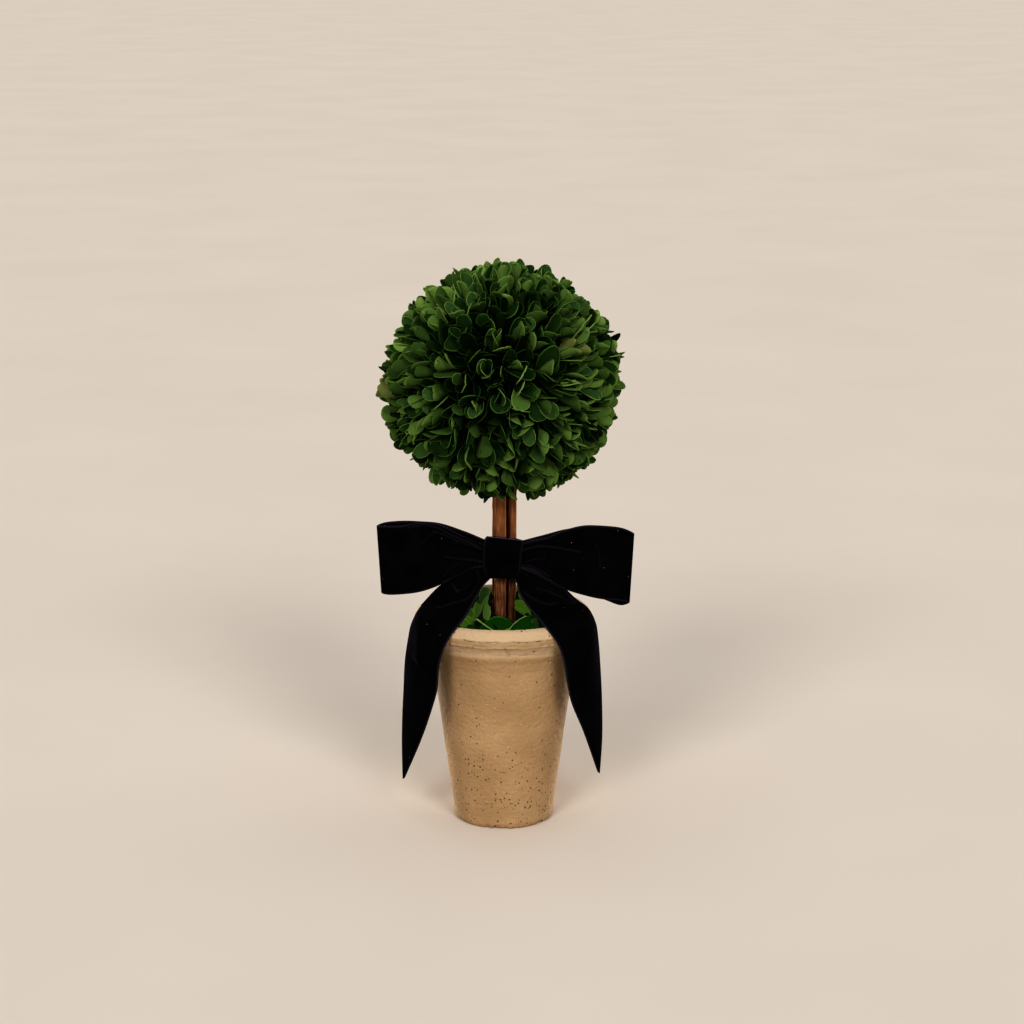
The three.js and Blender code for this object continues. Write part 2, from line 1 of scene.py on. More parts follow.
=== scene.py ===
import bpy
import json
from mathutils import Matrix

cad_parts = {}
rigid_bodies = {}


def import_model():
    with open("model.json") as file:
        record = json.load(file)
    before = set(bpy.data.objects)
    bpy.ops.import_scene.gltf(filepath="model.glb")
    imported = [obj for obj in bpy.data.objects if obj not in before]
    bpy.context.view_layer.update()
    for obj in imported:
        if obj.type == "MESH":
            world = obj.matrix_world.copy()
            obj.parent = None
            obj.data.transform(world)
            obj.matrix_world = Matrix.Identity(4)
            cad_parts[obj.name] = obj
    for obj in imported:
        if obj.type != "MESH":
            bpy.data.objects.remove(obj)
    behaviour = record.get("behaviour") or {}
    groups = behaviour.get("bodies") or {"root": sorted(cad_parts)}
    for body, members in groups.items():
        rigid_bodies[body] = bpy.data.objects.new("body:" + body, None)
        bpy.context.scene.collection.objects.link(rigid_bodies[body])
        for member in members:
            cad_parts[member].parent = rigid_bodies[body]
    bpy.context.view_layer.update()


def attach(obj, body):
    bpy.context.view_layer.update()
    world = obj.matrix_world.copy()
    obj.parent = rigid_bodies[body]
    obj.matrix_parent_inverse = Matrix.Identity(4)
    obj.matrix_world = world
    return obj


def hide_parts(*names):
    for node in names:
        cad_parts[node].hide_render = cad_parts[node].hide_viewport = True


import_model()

import json
import math
import random

import bpy
import numpy as np
from mathutils import Vector, noise

# A ball topiary: box leaves on a bundle of sticks, in a clay pot, with a velvet bow.
# Sizes are in millimetres, +Z up, the front towards -Y, and go to metres as each mesh is made.
mm = 0.001
scene = bpy.context.scene
upAxis = np.array((0.0, 0.0, 1.0))


def srgb(code):
    shares = [int(code[place:place + 2], 16) / 255 for place in (1, 3, 5)]
    linear = [v / 12.92 if v <= 0.04045 else ((v + 0.055) / 1.055) ** 2.4 for v in shares]
    return (*linear, 1.0)


# Adds a node. Each input is a value or the output that feeds it; ramp gives a colour ramp its stops.
def addNode(tree, kind, inputs=None, ramp=None, **settings):
    node = tree.nodes.new(kind)
    for name, value in settings.items():
        setattr(node, name, value)
    for name, value in (inputs or {}).items():
        if isinstance(value, bpy.types.NodeSocket):
            tree.links.new(value, node.inputs[name])
        else:
            node.inputs[name].default_value = value
    if ramp:
        stops = node.color_ramp.elements
        while len(stops) < len(ramp):
            stops.new(0.5)
        for stop, (place, shade) in zip(stops, ramp):
            stop.position = place
            stop.color = shade
    return node


# The nodes that come up most, each giving back what it puts out.
def placeOf(tree):
    return addNode(tree, "ShaderNodeTexCoord").outputs["Object"]


def noiseOf(tree, place, scale, detail, **more):
    inputs = {"Vector": place, "Scale": scale, "Detail": detail, **more}
    return addNode(tree, "ShaderNodeTexNoise", inputs).outputs


def cellsOf(tree, place, scale):
    return addNode(tree, "ShaderNodeTexVoronoi", {"Vector": place, "Scale": scale}).outputs


def rampOf(tree, value, *stops):
    ramp = []
    for place, shade in stops:
        ramp.append((place, srgb(shade) if isinstance(shade, str) else (shade, shade, shade, 1)))
    return addNode(tree, "ShaderNodeValToRGB", {"Fac": value}, ramp=ramp).outputs["Color"]


def mixOf(tree, share, first, second, **settings):
    second = srgb(second) if isinstance(second, str) else second
    inputs = {"Factor": share, 6: first, 7: second}
    return addNode(tree, "ShaderNodeMix", inputs, data_type="RGBA", **settings).outputs[2]


def mathOf(tree, operation, *values):
    return addNode(tree, "ShaderNodeMath", dict(enumerate(values)), operation=operation).outputs[0]


def rangeOf(tree, value, limits):
    return addNode(tree, "ShaderNodeMapRange", {"Value": value, **limits}).outputs[0]


def attributeOf(tree, name):
    return addNode(tree, "ShaderNodeAttribute", attribute_name=name).outputs["Fac"]


def bumpOf(tree, height, strength, distance, under=None, **settings):
    inputs = {"Height": height, "Strength": strength, "Distance": distance * mm}
    if under is not None:
        inputs["Normal"] = under
    return addNode(tree, "ShaderNodeBump", inputs, **settings).outputs[0]


# 0 below one height and 1 above another, or the other way round.
def heightMask(tree, place, low, high):
    height = addNode(tree, "ShaderNodeSeparateXYZ", {0: place}).outputs["Z"]
    return rangeOf(tree, height, {"From Min": low * mm, "From Max": high * mm})


# Round specks: a share of the cells has one in its middle, of a set size.
def specksOf(tree, place, scale, share, size):
    cells = cellsOf(tree, place, scale)
    chance = addNode(tree, "ShaderNodeSeparateColor", {0: cells["Color"]}).outputs[0]
    near = mathOf(tree, "LESS_THAN", cells["Distance"], size)
    return mathOf(tree, "MULTIPLY", mathOf(tree, "LESS_THAN", chance, share), near)


def newMaterial(name, **constants):
    material = bpy.data.materials.new(name)
    material.use_nodes = True
    shader = material.node_tree.nodes["Principled BSDF"]
    for socket, value in constants.items():
        shader.inputs[socket.replace("_", " ")].default_value = value
    return material, material.node_tree, shader


def feed(tree, shader, shade, normal=None):
    tree.links.new(shade, shader.inputs["Base Color"])
    if normal is not None:
        tree.links.new(normal, shader.inputs["Normal"])


def newPiece(name, points, faces, edges=()):
    mesh = bpy.data.meshes.new(name)
    mesh.from_pydata((np.asarray(points, float).reshape(-1, 3) * mm).tolist(), list(edges), faces)
    mesh.polygons.foreach_set("use_smooth", [True] * len(mesh.polygons))
    piece = bpy.data.objects.new(name, mesh)
    scene.collection.objects.link(piece)
    return piece


def setValues(piece, name, values, kind="FLOAT"):
    field = "vector" if kind == "FLOAT_VECTOR" else "value"
    piece.data.attributes.new(name, kind, "POINT").data.foreach_set(field, np.ravel(values))


def standFor(piece, slot, nodes, *materials):
    if materials:
        piece.data.materials.clear()
    for material in materials:
        piece.data.materials.append(material)
    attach(piece, "root")
    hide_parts(*nodes)


# Runs a node tree on an object and keeps the result as its plain mesh.
def growMesh(piece, tree, values):
    modifier = piece.modifiers.new("grow", "NODES")
    modifier.node_group = tree
    for item in tree.interface.items_tree:
        if item.in_out == "INPUT" and item.name in values:
            modifier[item.identifier] = values[item.name]
    evaluated = piece.evaluated_get(bpy.context.evaluated_depsgraph_get())
    grown = bpy.data.meshes.new_from_object(evaluated)
    piece.modifiers.remove(modifier)
    piece.data = grown


def newTree(name, sockets):
    tree = bpy.data.node_groups.new(name, "GeometryNodeTree")
    tree.interface.new_socket("Geometry", in_out="OUTPUT", socket_type="NodeSocketGeometry")
    for label, kind, start in [("Geometry", "NodeSocketGeometry", None), *sockets]:
        socket = tree.interface.new_socket(label, in_out="INPUT", socket_type=kind)
        if start is not None:
            socket.default_value = start
    return tree, addNode(tree, "NodeGroupInput").outputs


def unit(vector):
    return np.asarray(vector) / max(np.linalg.norm(vector), 1e-9)


def units(vectors):
    return vectors / np.maximum(np.linalg.norm(vectors, axis=-1, keepdims=True), 1e-9)


def between(span, share):
    return span[0] + (span[1] - span[0]) * share


def turnsOf(columns):
    return np.arange(columns) * 2 * math.pi / columns


# How far turns are from a direction in degrees, the short way round.
def turnGap(turns, degrees):
    return np.angle(np.exp(1j * (turns - math.radians(degrees))))


# Centripetal curve through the points, sampled evenly from station to station.
def smoothPath(points, samples):
    points = np.array(points, float)
    padded = np.vstack([2 * points[0] - points[1], points, 2 * points[-1] - points[-2]])
    path = []
    for place in np.linspace(0, len(points) - 1, samples):
        start = min(int(place), len(points) - 2)
        p0, p1, p2, p3 = padded[start:start + 4]
        d0, d1, d2 = [max(np.linalg.norm(b - a), 1e-6) ** 0.5 for a, b in ((p0, p1), (p1, p2), (p2, p3))]
        m1 = ((p1 - p0) / d0 - (p2 - p0) / (d0 + d1) + (p2 - p1) / d1) * d1
        m2 = ((p2 - p1) / d1 - (p3 - p1) / (d1 + d2) + (p3 - p2) / d2) * d1
        t = place - start
        path.append(p1 + m1 * t + (3 * (p2 - p1) - 2 * m1 - m2) * t ** 2
                    + (2 * (p1 - p2) + m1 + m2) * t ** 3)
    return np.array(path)


# Faces of a grid of rows and columns that may close on itself.
def gridFaces(rows, columns, closed=False):
    faces = []
    for row in range(rows - 1):
        for column in range(columns if closed else columns - 1):
            a, b = row * columns + column, row * columns + (column + 1) % columns
            faces.append((a, b, b + columns, a + columns))
    return faces


# The same for a tube of rings, with a face over each end.
def tubeFaces(rows, columns):
    last = (rows - 1) * columns
    ends = [tuple(range(columns))[::-1], tuple(range(last, last + columns))]
    return gridFaces(rows, columns, closed=True) + ends


# Camera, light and floor.
view = {"lens": 85, "sensor": 36, "eye": (0.006, -1.640, 0.630), "down": 13.95}
studio = {
    "world": "#D9D4D0", "worldStrength": 0.19, "backdrop": "#CDC6BD",
    "floor": "#E4DCD3", "floorShade": "#E0D8CF", "floorSize": 44.0,
    "suns": [  # name, place it shines from, strength, spread in degrees, colour
        ("leftKey", (-0.34, -0.80, 0.56), 1.26, 20, "#FFF8F0"),
        ("rightKey", (0.34, -0.80, 0.56), 1.20, 20, "#FFF8F0"),
        ("leftRim", (-0.57, 0.82, 0.16), 3.7, 16, "#FFF8F0"),
        ("rightRim", (0.57, 0.82, 0.16), 3.4, 16, "#FFF8F0"),
        ("topSun", (0.0, 0.10, 1.0), 0.85, 60, "#FFFAF4"),
    ],
    "offTheFloor": ("leftRim", "rightRim"),  # flagged off the floor, so they throw no streaks forward
}


def makeWorld():
    world = bpy.data.worlds.new("studioWorld")
    world.use_nodes = True
    tree = world.node_tree
    light = tree.nodes["Background"]
    light.inputs["Color"].default_value = srgb(studio["world"])
    light.inputs["Strength"].default_value = studio["worldStrength"]
    # behind the floor's far edge the camera sees a pale wall, which gives no light
    wall = addNode(tree, "ShaderNodeBackground", {"Color": srgb(studio["backdrop"])})
    seen = addNode(tree, "ShaderNodeLightPath").outputs["Is Camera Ray"]
    both = addNode(tree, "ShaderNodeMixShader", {0: seen, 1: light.outputs[0], 2: wall.outputs[0]})
    tree.links.new(both.outputs[0], tree.nodes["World Output"].inputs["Surface"])
    scene.world = world


def makeFloor():
    half = studio["floorSize"] / 2 / mm
    corners = [(-half, -half, 0), (half, -half, 0), (half, half, 0), (-half, half, 0)]
    floor = newPiece("studioFloor", corners, [(0, 1, 2, 3)])
    material, tree, shader = newMaterial("paintedStudioFloor", Roughness=0.9)  # matt paint, no shine
    cloud = noiseOf(tree, placeOf(tree), 3.0, 5.0)["Fac"]
    feed(tree, shader, rampOf(tree, cloud, (0.35, studio["floorShade"]), (0.65, studio["floor"])))
    floor.data.materials.append(material)
    return floor


def makeStudio():
    camera = bpy.data.objects.new("photoCamera", bpy.data.cameras.new("photoCamera"))
    camera.data.lens = view["lens"]
    camera.data.sensor_width = view["sensor"]
    camera.location = view["eye"]
    camera.rotation_euler = (math.radians(90 - view["down"]), 0, 0)
    scene.collection.objects.link(camera)
    scene.camera = camera
    makeWorld()
    shaded = bpy.data.collections.new("keptFromRims")
    for name, place, strength, spread, shade in studio["suns"]:
        lamp = bpy.data.lights.new(name, "SUN")
        lamp.energy = strength
        lamp.angle = math.radians(spread)
        lamp.color = srgb(shade)[:3]
        sun = bpy.data.objects.new(name, lamp)
        sun.location = place
        sun.rotation_euler = (-Vector(place)).to_track_quat("-Z", "Y").to_euler()
        scene.collection.objects.link(sun)
        if name in studio["offTheFloor"]:
            sun.light_linking.receiver_collection = shaded
    shaded.objects.link(makeFloor())
    shaded.collection_objects[0].light_linking.link_state = "EXCLUDE"
    scene.view_settings.view_transform = "Standard"
    scene.view_settings.look = "Medium High Contrast"


makeStudio()
print("studio ready")


# One tree that lifts a surface along its normals by a noise.
def makeReliefTree():
    tree, given = newTree("surfaceRelief", [
        ("Depth", "NodeSocketFloat", 0.0002), ("Scale", "NodeSocketFloat", 100.0),
        ("Stretch", "NodeSocketVector", (1, 1, 1)), ("Detail", "NodeSocketFloat", 3.0)])
    place = addNode(tree, "GeometryNodeInputPosition").outputs[0]
    squeezed = addNode(tree, "ShaderNodeVectorMath", {0: place, 1: given["Stretch"]}, operation="MULTIPLY")
    cloud = noiseOf(tree, squeezed.outputs[0], given["Scale"], given["Detail"])[0]
    lift = mathOf(tree, "MULTIPLY", mathOf(tree, "SUBTRACT", cloud, 0.5), given["Depth"])
    normal = addNode(tree, "GeometryNodeInputNormal").outputs[0]
    offset = addNode(tree, "ShaderNodeVectorMath", {0: normal, "Scale": lift}, operation="SCALE")
    moved = addNode(tree, "GeometryNodeSetPosition", {
        "Geometry": given["Geometry"], "Offset": offset.outputs[0]})
    addNode(tree, "NodeGroupOutput", {"Geometry": moved.outputs[0]})
    return tree


reliefTree = makeReliefTree()

# The pot: profiles are (radius, height) points.
pot = {
    "columns": 336, "bodyStep": 1.5, "neckStep": 0.42, "hiddenStep": 4.0,
    "body": [(33.8, 0), (35.6, 1.2), (36.0, 3.4), (35.7, 7.5), (43.6, 66), (51.2, 120.5)],
    "neck": [(51.2, 120.5), (53.9, 127.4), (55.9, 130.6), (56.4, 131.8), (56.0, 132.8), (56.7, 134.6),
             (58.5, 137.4), (60.4, 139.5), (61.8, 140.4), (62.1, 141.0), (61.8, 141.8), (62.3, 143.4),
             (62.9, 145.0)],
    "roll": {"radius": 58.2, "height": 146, "out": 5.0, "inwards": 4.2, "rise": 6.9, "start": -0.03,
             "steps": 40},
    "inside": [(54.0, 146), (51.0, 138), (47.2, 124), (30.0, 9), (0, 9)],
    "outerBeyond": 30, "innerRows": 60,
    # heights between which the paler band and rim come in, and the air bubbles
    "rimSpan": (130, 150), "airSpan": (78, 22),
    # noises round the pot: strength, size in mm, seed
    "clouds": {"wander": [(1, 14, 1.5), (0.8, 2.4, 4.5)], "force": [(0.9, 7, 7.5), (0.5, 1.8, 8.5)],
               "edge": [(1, 18, 11.5), (0.7, 2.2, 14.5)], "lower": [(1, 12, 21.5)],
               "chipped": [(1, 6, 31.5), (0.5, 2.2, 35.5)]},
    # the mould's seam under the roll shows best between two directions; painted shade darkens the clay along
    # it
    "seam": {"height": 145.2, "wander": 0.7, "depth": 1.7, "width": 0.42, "overhang": 0.35, "lipAbove": 1.1,
             "lipWidth": 1.0, "paintedShade": 0.85, "paintedShadeWidth": 0.45, "from": -116, "to": -61, "shown": 0.5},
    # in the cove under the ridge, painted shade darkens the clay along a line
    "cove": {"height": 139.7, "width": 0.6, "paintedShade": 0.35, "least": 0.6},
    "ridge": {"height": 141.1, "tall": 0.9, "radius": 62, "chipDepth": 1.2, "seed": 5, "moreChips": 34,
              "moreWidths": (0.8, 2.2), "wear": (0.5, 1),
              "chips": [(-107.5, 2.6), (-102, 1.4), (-89, 1.0), (-74, 1.4), (-64, 1.2), (-58, 1.4),
                        (-122, 1.2)]},
    # down the crack, painted shade darkens the clay
    "crack": {"x": (1.2, 4.4), "height": (140.6, 133.2), "depth": 0.9, "width": 0.6, "swing": 0.5,
              "wave": 2.1, "paintedShade": 0.6, "paintedShadeWidth": 0.5},
    "scratch": {"x": (11.5, 23.5), "height": 133.9, "depth": 0.6, "width": 0.4},
    # the shoulder's edge is rubbed soft in the middle of the front: rise, height, width
    "shoulder": {"height": 132.4, "wander": 0.7, "lip": 0.35, "lipGain": 3, "width": 0.5,
                 "rubbedAt": -90, "rubbedWidth": 24, "rubbed": [(0.42, 133.0, 0.9), (-0.30, 131.2, 1.0)]},
    "foot": {"height": 5.0, "depth": 3.4, "radius": 35},
    "waver": {"rise": 0.5, "lines": [(141.1, 3.5), (131.5, 2.5)]},
    "crest": {"above": 150, "lines": [(0.4, 55.6, 0.7), (-0.3, 57.0, 0.6)]},  # a bead and a groove
    "saddle": {"depth": 1.0, "from": 125, "over": 12},
    "relief": [{"Depth": 1.1 * mm, "Scale": 26.0, "Detail": 2.0},
               {"Depth": 0.45 * mm, "Scale": 180.0, "Detail": 4.0}],
}


def resample(points, step):
    path = [np.array(points[0], float)]
    for before, after in zip(points[:-1], points[1:]):
        before, after = np.array(before, float), np.array(after, float)
        pieces = max(1, round(np.linalg.norm(after - before) / step))
        path += [before + (after - before) * part / pieces for part in range(1, pieces + 1)]
    return np.array(path)


def soften(path, passes):
    for _ in range(passes):
        path[1:-1] = path[1:-1] / 2 + (path[:-2] + path[2:]) / 4
    return path


def potProfile():
    roll = pot["roll"]
    crest = []
    for turn in np.linspace(roll["start"] * math.pi, math.pi, roll["steps"]):
        reach = roll["out"] if math.cos(turn) > 0 else roll["inwards"]
        height = roll["height"] + roll["rise"] * math.sin(turn)
        crest.append((roll["radius"] + reach * math.cos(turn), height))
    body = soften(resample(pot["body"], pot["bodyStep"]), 1)
    neck = soften(resample(pot["neck"], pot["neckStep"]), 2)
    inner = resample([crest[-1], *pot["inside"][1:]], pot["hiddenStep"])
    under = resample([(0, 0), pot["body"][0]], pot["hiddenStep"])[:-1]
    return np.vstack([under, body, neck[1:], crest[1:-1], inner])


def spunPoints(profile, columns):
    turn = turnsOf(columns)
    radius, height = profile[:, :1], profile[:, 1:]
    return np.stack([radius * np.cos(turn), radius * np.sin(turn), height + 0 * turn], axis=2)


# Closes a spun grid whose first and last rows lie on the axis, with one point at each pole.
def spunMesh(name, grid):
    rows, columns = grid.shape[:2]
    points = np.vstack([grid[1:-1].reshape(-1, 3), grid[0, :1], grid[-1, :1]])
    faces = gridFaces(rows - 2, columns, closed=True)
    low, high, last = len(points) - 2, len(points) - 1, (rows - 3) * columns
    for column in range(columns):
        after = (column + 1) % columns
        faces.append((low, after, column))
        faces.append((high, last + column, last + after))
    return newPiece(name, points, faces)


def bump(distance, width):
    return np.exp(-(distance / width) ** 2)


def roundCloud(turns, name, radius=60.0):
    return np.array([sum(
        share * noise.noise(Vector((math.cos(turn), math.sin(turn), seed)) * radius / size)
        for share, size, seed in pot["clouds"][name]) for turn in turns])


def carvePot(grid):
    seam, cove, ridge, crack, scratch = (pot[name] for name in ("seam", "cove", "ridge", "crack", "scratch"))
    shoulder, foot, waver, crest = (pot[name] for name in ("shoulder", "foot", "waver", "crest"))
    columns = grid.shape[1]
    turns = turnsOf(columns)
    degrees = np.degrees((turns + math.pi) % (2 * math.pi) - math.pi)
    radius = np.hypot(grid[:, :, 0], grid[:, :, 1])
    x, height = grid[:, :, 0], grid[:, :, 2]
    outerRows = np.arange(len(grid)) < len(grid) - pot["innerRows"]
    outer = (radius > pot["outerBeyond"]) & outerRows[:, None]
    front = outer & (grid[:, :, 1] < 0)
    wander, edge, lower = (roundCloud(turns, name) for name in ("wander", "edge", "lower"))
    shown = ((degrees > seam["from"]) & (degrees < seam["to"])) * seam["shown"]
    force = (roundCloud(turns, "force") + shown).clip(0, 1)

    away = height - (seam["height"] + seam["wander"] * wander)
    change = outer * (seam["overhang"] * bump(away - seam["lipAbove"], seam["lipWidth"])
                      - seam["depth"] * force * bump(away, seam["width"]))
    # painted shade: crease darkens the clay along the seam, in the cove under the ridge and down the crack
    crease = outer * seam["paintedShade"] * force * bump(away, seam["paintedShadeWidth"])
    paintedShade = cove["paintedShade"] * (cove["least"] + edge) * bump(height - cove["height"], cove["width"])
    crease = np.maximum(crease, outer * paintedShade)

    random.seed(ridge["seed"])
    chips = list(ridge["chips"])
    for _ in range(ridge["moreChips"]):
        chips.append((random.uniform(-180, 180), random.uniform(*ridge["moreWidths"])))
    worn = np.zeros(columns)
    for middle, width in chips:
        gap = turnGap(turns, middle) * ridge["radius"]
        worn = np.maximum(worn, bump(gap, width) * random.uniform(*ridge["wear"]))
    change -= outer * ridge["chipDepth"] * worn * bump(height - ridge["height"], ridge["tall"])

    middle = np.interp(height, crack["height"][::-1], crack["x"][::-1])
    middle = middle + crack["swing"] * np.sin(height * crack["wave"])
    inCrack = front & (height < crack["height"][0]) & (height > crack["height"][1])
    change -= inCrack * crack["depth"] * bump(x - middle, crack["width"])
    crease = np.maximum(crease, inCrack * crack["paintedShade"] * bump(x - middle, crack["paintedShadeWidth"]))
    inScratch = front & (x > scratch["x"][0]) & (x < scratch["x"][1])
    change -= inScratch * scratch["depth"] * bump(height - scratch["height"], scratch["width"])

    rubbed = bump(degrees - shoulder["rubbedAt"], shoulder["rubbedWidth"])
    line = height - (shoulder["height"] + shoulder["wander"] * lower)
    raised = (lower * shoulder["lipGain"]).clip(0, 1)
    lip = shoulder["lip"] * raised * (1 - rubbed) * bump(line, shoulder["width"])
    soft = sum(rise * bump(height - level, width) for rise, level, width in shoulder["rubbed"])
    change += outer * (lip + rubbed * soft)
    chipped = roundCloud(turns, "chipped", foot["radius"]).clip(0)
    change -= outer * foot["depth"] * chipped * (1 - height / foot["height"]).clip(0, 1)

    grid[:, :, :2] *= ((radius + change) / np.maximum(radius, 1e-6))[:, :, None]
    near = sum(bump(height - level, width) for level, width in waver["lines"])
    height += outer * waver["rise"] * edge * near
    onTop = height > crest["above"]
    height += onTop * sum(rise * bump(radius - line, width) for rise, line, width in crest["lines"])
    saddle = pot["saddle"]
    height -= saddle["depth"] * np.cos(2 * turns) * ((height - saddle["from"]) / saddle["over"]).clip(0, 1)
    return grid, crease.clip(0, 1)


# Buff stoneware cast in a mould and left unglazed: matt and chalky, with a sandy grain, pinholes left by
# air bubbles that gather low down, pale grog specks, and a paler rim. It has painted light on the band above
# the shoulder, and painted shade along the seam, in the cove under the ridge, down the crack and in the
# pinholes.
def makeClay():
    material, tree, shader = newMaterial("unglazedBuffClay", Roughness=0.92, IOR=1.45)
    place = placeOf(tree)
    clouds = noiseOf(tree, place, 28.0, 4.0)["Fac"]  # 35 mm clouds
    body = rampOf(tree, clouds, (0.30, "#9C7E58"), (0.52, "#A98962"), (0.72, "#B3956E"))
    sand = noiseOf(tree, place, 620.0, 3.0)  # 1.6 mm sand
    shade = mixOf(tree, 0.34, body, sand["Color"], blend_type="SOFT_LIGHT")
    # paler on the band above the shoulder, painted light that lifts the shade under the ridge, and paler
    # round the rim
    worn = rampOf(tree, heightMask(tree, place, *pot["rimSpan"]), (0.04, 0), (0.22, 0.42), (0.46, 0.42),
                  (0.56, 0.15), (0.74, 0.2), (0.88, 0.62))
    shade = mixOf(tree, worn, shade, "#D6BFA0")
    # painted shade along the seam, in the cove under the ridge and down the crack
    shade = mixOf(tree, attributeOf(tree, "crease"), shade, "#6A4B2B")

    cells = cellsOf(tree, place, 480.0)  # a pinhole in 2.1 mm
    chance = addNode(tree, "ShaderNodeSeparateColor", {0: cells["Color"]}).outputs
    share = rangeOf(tree, heightMask(tree, place, *pot["airSpan"]), {"To Min": 0.06, "To Max": 0.46})
    size = rangeOf(tree, chance[1], {"To Min": 0.13, "To Max": 0.36})
    depth = rangeOf(tree, mathOf(tree, "SUBTRACT", size, cells["Distance"]), {"From Max": 0.06})
    pinhole = mathOf(tree, "MULTIPLY", depth, mathOf(tree, "LESS_THAN", chance[0], share))
    # painted shade: each pinhole is coloured dark for the shade in its hollow
    shade = mixOf(tree, pinhole, shade, "#4E351C")
    shade = mixOf(tree, specksOf(tree, place, 330.0, 0.22, 0.11), shade, "#D9BD93")  # grog

    flat = addNode(tree, "ShaderNodeMapping", {"Vector": place, "Scale": (1, 1, 2.6)}).outputs[0]
    lumps = noiseOf(tree, flat, 150.0, 6.0)["Fac"]  # 7 mm lumps, drawn out round the pot
    peel = noiseOf(tree, place, 340.0, 3.0)["Fac"]  # 3 mm dimples
    normal = bumpOf(tree, sand["Fac"], 0.7, 0.5)
    normal = bumpOf(tree, peel, 0.8, 0.8, normal)
    normal = bumpOf(tree, lumps, 0.7, 1.1, normal)
    feed(tree, shader, shade, bumpOf(tree, pinhole, 0.8, 0.5, normal, invert=True))
    return material


def makePot():
    grid, crease = carvePot(spunPoints(potProfile(), pot["columns"]))
    piece = spunMesh("clayPot", grid)
    # crease carries the painted shade of the seam, the cove and the crack to the clay's colour
    setValues(piece, "crease", np.append(crease[1:-1].ravel(), (0, 0)))
    for relief in pot["relief"]:
        growMesh(piece, reliefTree, relief)
    for vertex in piece.data.vertices:
        vertex.co.z = max(vertex.co.z, 0)
    standFor(piece, "clay", ["pot"], makeClay())


makePot()
print("pot ready")

# The filling, with its side and top as (radius, height).
filling = {"sides": [(30.0, 9.3), (46.8, 124), (50.6, 138), (52.2, 142.2)], "top": 142.0, "columns": 96,
           "step": 3.0}


# Dry floral foam and plaster, scraped level and dusted with bark crumbs: dark, matt and lumpy.
def makeFilling():
    profile = resample([(0, filling["sides"][0][1]), *filling["sides"], (0, filling["top"])], filling["step"])
    piece = spunMesh("potFilling", spunPoints(profile, filling["columns"]))
    growMesh(piece, reliefTree, {"Depth": 1.0 * mm, "Scale": 160.0, "Detail": 4.0})
    material, tree, shader = newMaterial("barkCrumbFilling", Roughness=1.0)
    crumbs = cellsOf(tree, placeOf(tree), 420.0)["Distance"]  # 2.4 mm crumbs
    shade = rampOf(tree, crumbs, (0.1, "#2E2418"), (0.6, "#15100A"))
    feed(tree, shader, shade, bumpOf(tree, crumbs, 1.0, 1.0, invert=True))
    standFor(piece, "filling", ["pot_fill"], material)


makeFilling()
print("filling ready")

# The sticks of the trunk.
trunk = {
    "foot": 106, "tip": 276, "heart": (0.5, 0.8), "waver": 0.12, "waves": 7, "oval": 0.03,
    "columns": 36, "rows": 200,
    # painted shade: each stick is darkened on the side that faces the bundle's heart
    "shadeStart": 0.5, "shadeGain": 2.6, "shadeMost": 0.96,  # how far round the heart's dark comes
    "bare": (-22, 0.34),  # a painted highlight down one side of each stick: where, and how wide
    # painted light close under the ball: its heights and strength, and the painted highlight's strength
    "paintedLightFrom": (200, 224), "paintedLightShare": 0.34, "bareShare": 0.6,
    "knot": {"rise": 0.42, "flatness": 0.7, "width": 1.3, "dip": 0.9, "dipWidth": 0.5},
    "sticks": [  # node, piece, x, y, radius, lean, taper, knots as (height, turn in degrees, size)
        ("stem_front_left", "stickFrontLeft", -2.3, -2.6, 4.25, (0.1, 0.0), 0.95,
         [(232, -100, 1.3), (221, -70, 1.0), (164, -68, 1.2), (240, 60, 1.4), (176, 150, 1.5)]),
        ("stem_front_right", "stickFrontRight", 5.0, -2.5, 3.2, (3.0, 0.1), 0.50,
         [(215, -80, 1.1), (172, -130, 0.9), (243, 40, 1.0)]),
        ("stem_back_left", "stickBackLeft", -4.9, 4.2, 3.1, (0.2, 0.0), 0.95,
         [(226, 140, 1.4), (171, 100, 1.2)]),
        ("stem_back_right", "stickBackRight", 2.9, 4.7, 3.3, (0.0, 0.2), 0.95,
         [(219, 80, 1.3), (180, 40, 1.5)]),
    ],
}


def stickGrid(x, y, radius, lean, taper, knots):
    share = np.linspace(0, 1, trunk["rows"])[:, None]
    turn = turnsOf(trunk["columns"])[None, :]
    height = between((trunk["foot"], trunk["tip"]), share)
    waver = trunk["waver"] * np.sin(share * trunk["waves"] + x)
    reach = radius * (1 - (1 - taper) * share) * (1 + trunk["oval"] * np.cos(2 * turn + x))
    knot = trunk["knot"]
    for level, degrees, size in knots:
        gap = turnGap(turn, degrees) * radius
        away = np.sqrt(gap ** 2 + ((height - level) * knot["flatness"]) ** 2)
        dip = knot["dip"] * bump(away, size * knot["dipWidth"])
        reach = reach + knot["rise"] * size * (bump(away, size * knot["width"]) - dip)
    return np.stack([x + lean[0] * share + waver + reach * np.cos(turn),
                     y + lean[1] * share - waver + reach * np.sin(turn),
                     height + 0 * turn], axis=2)


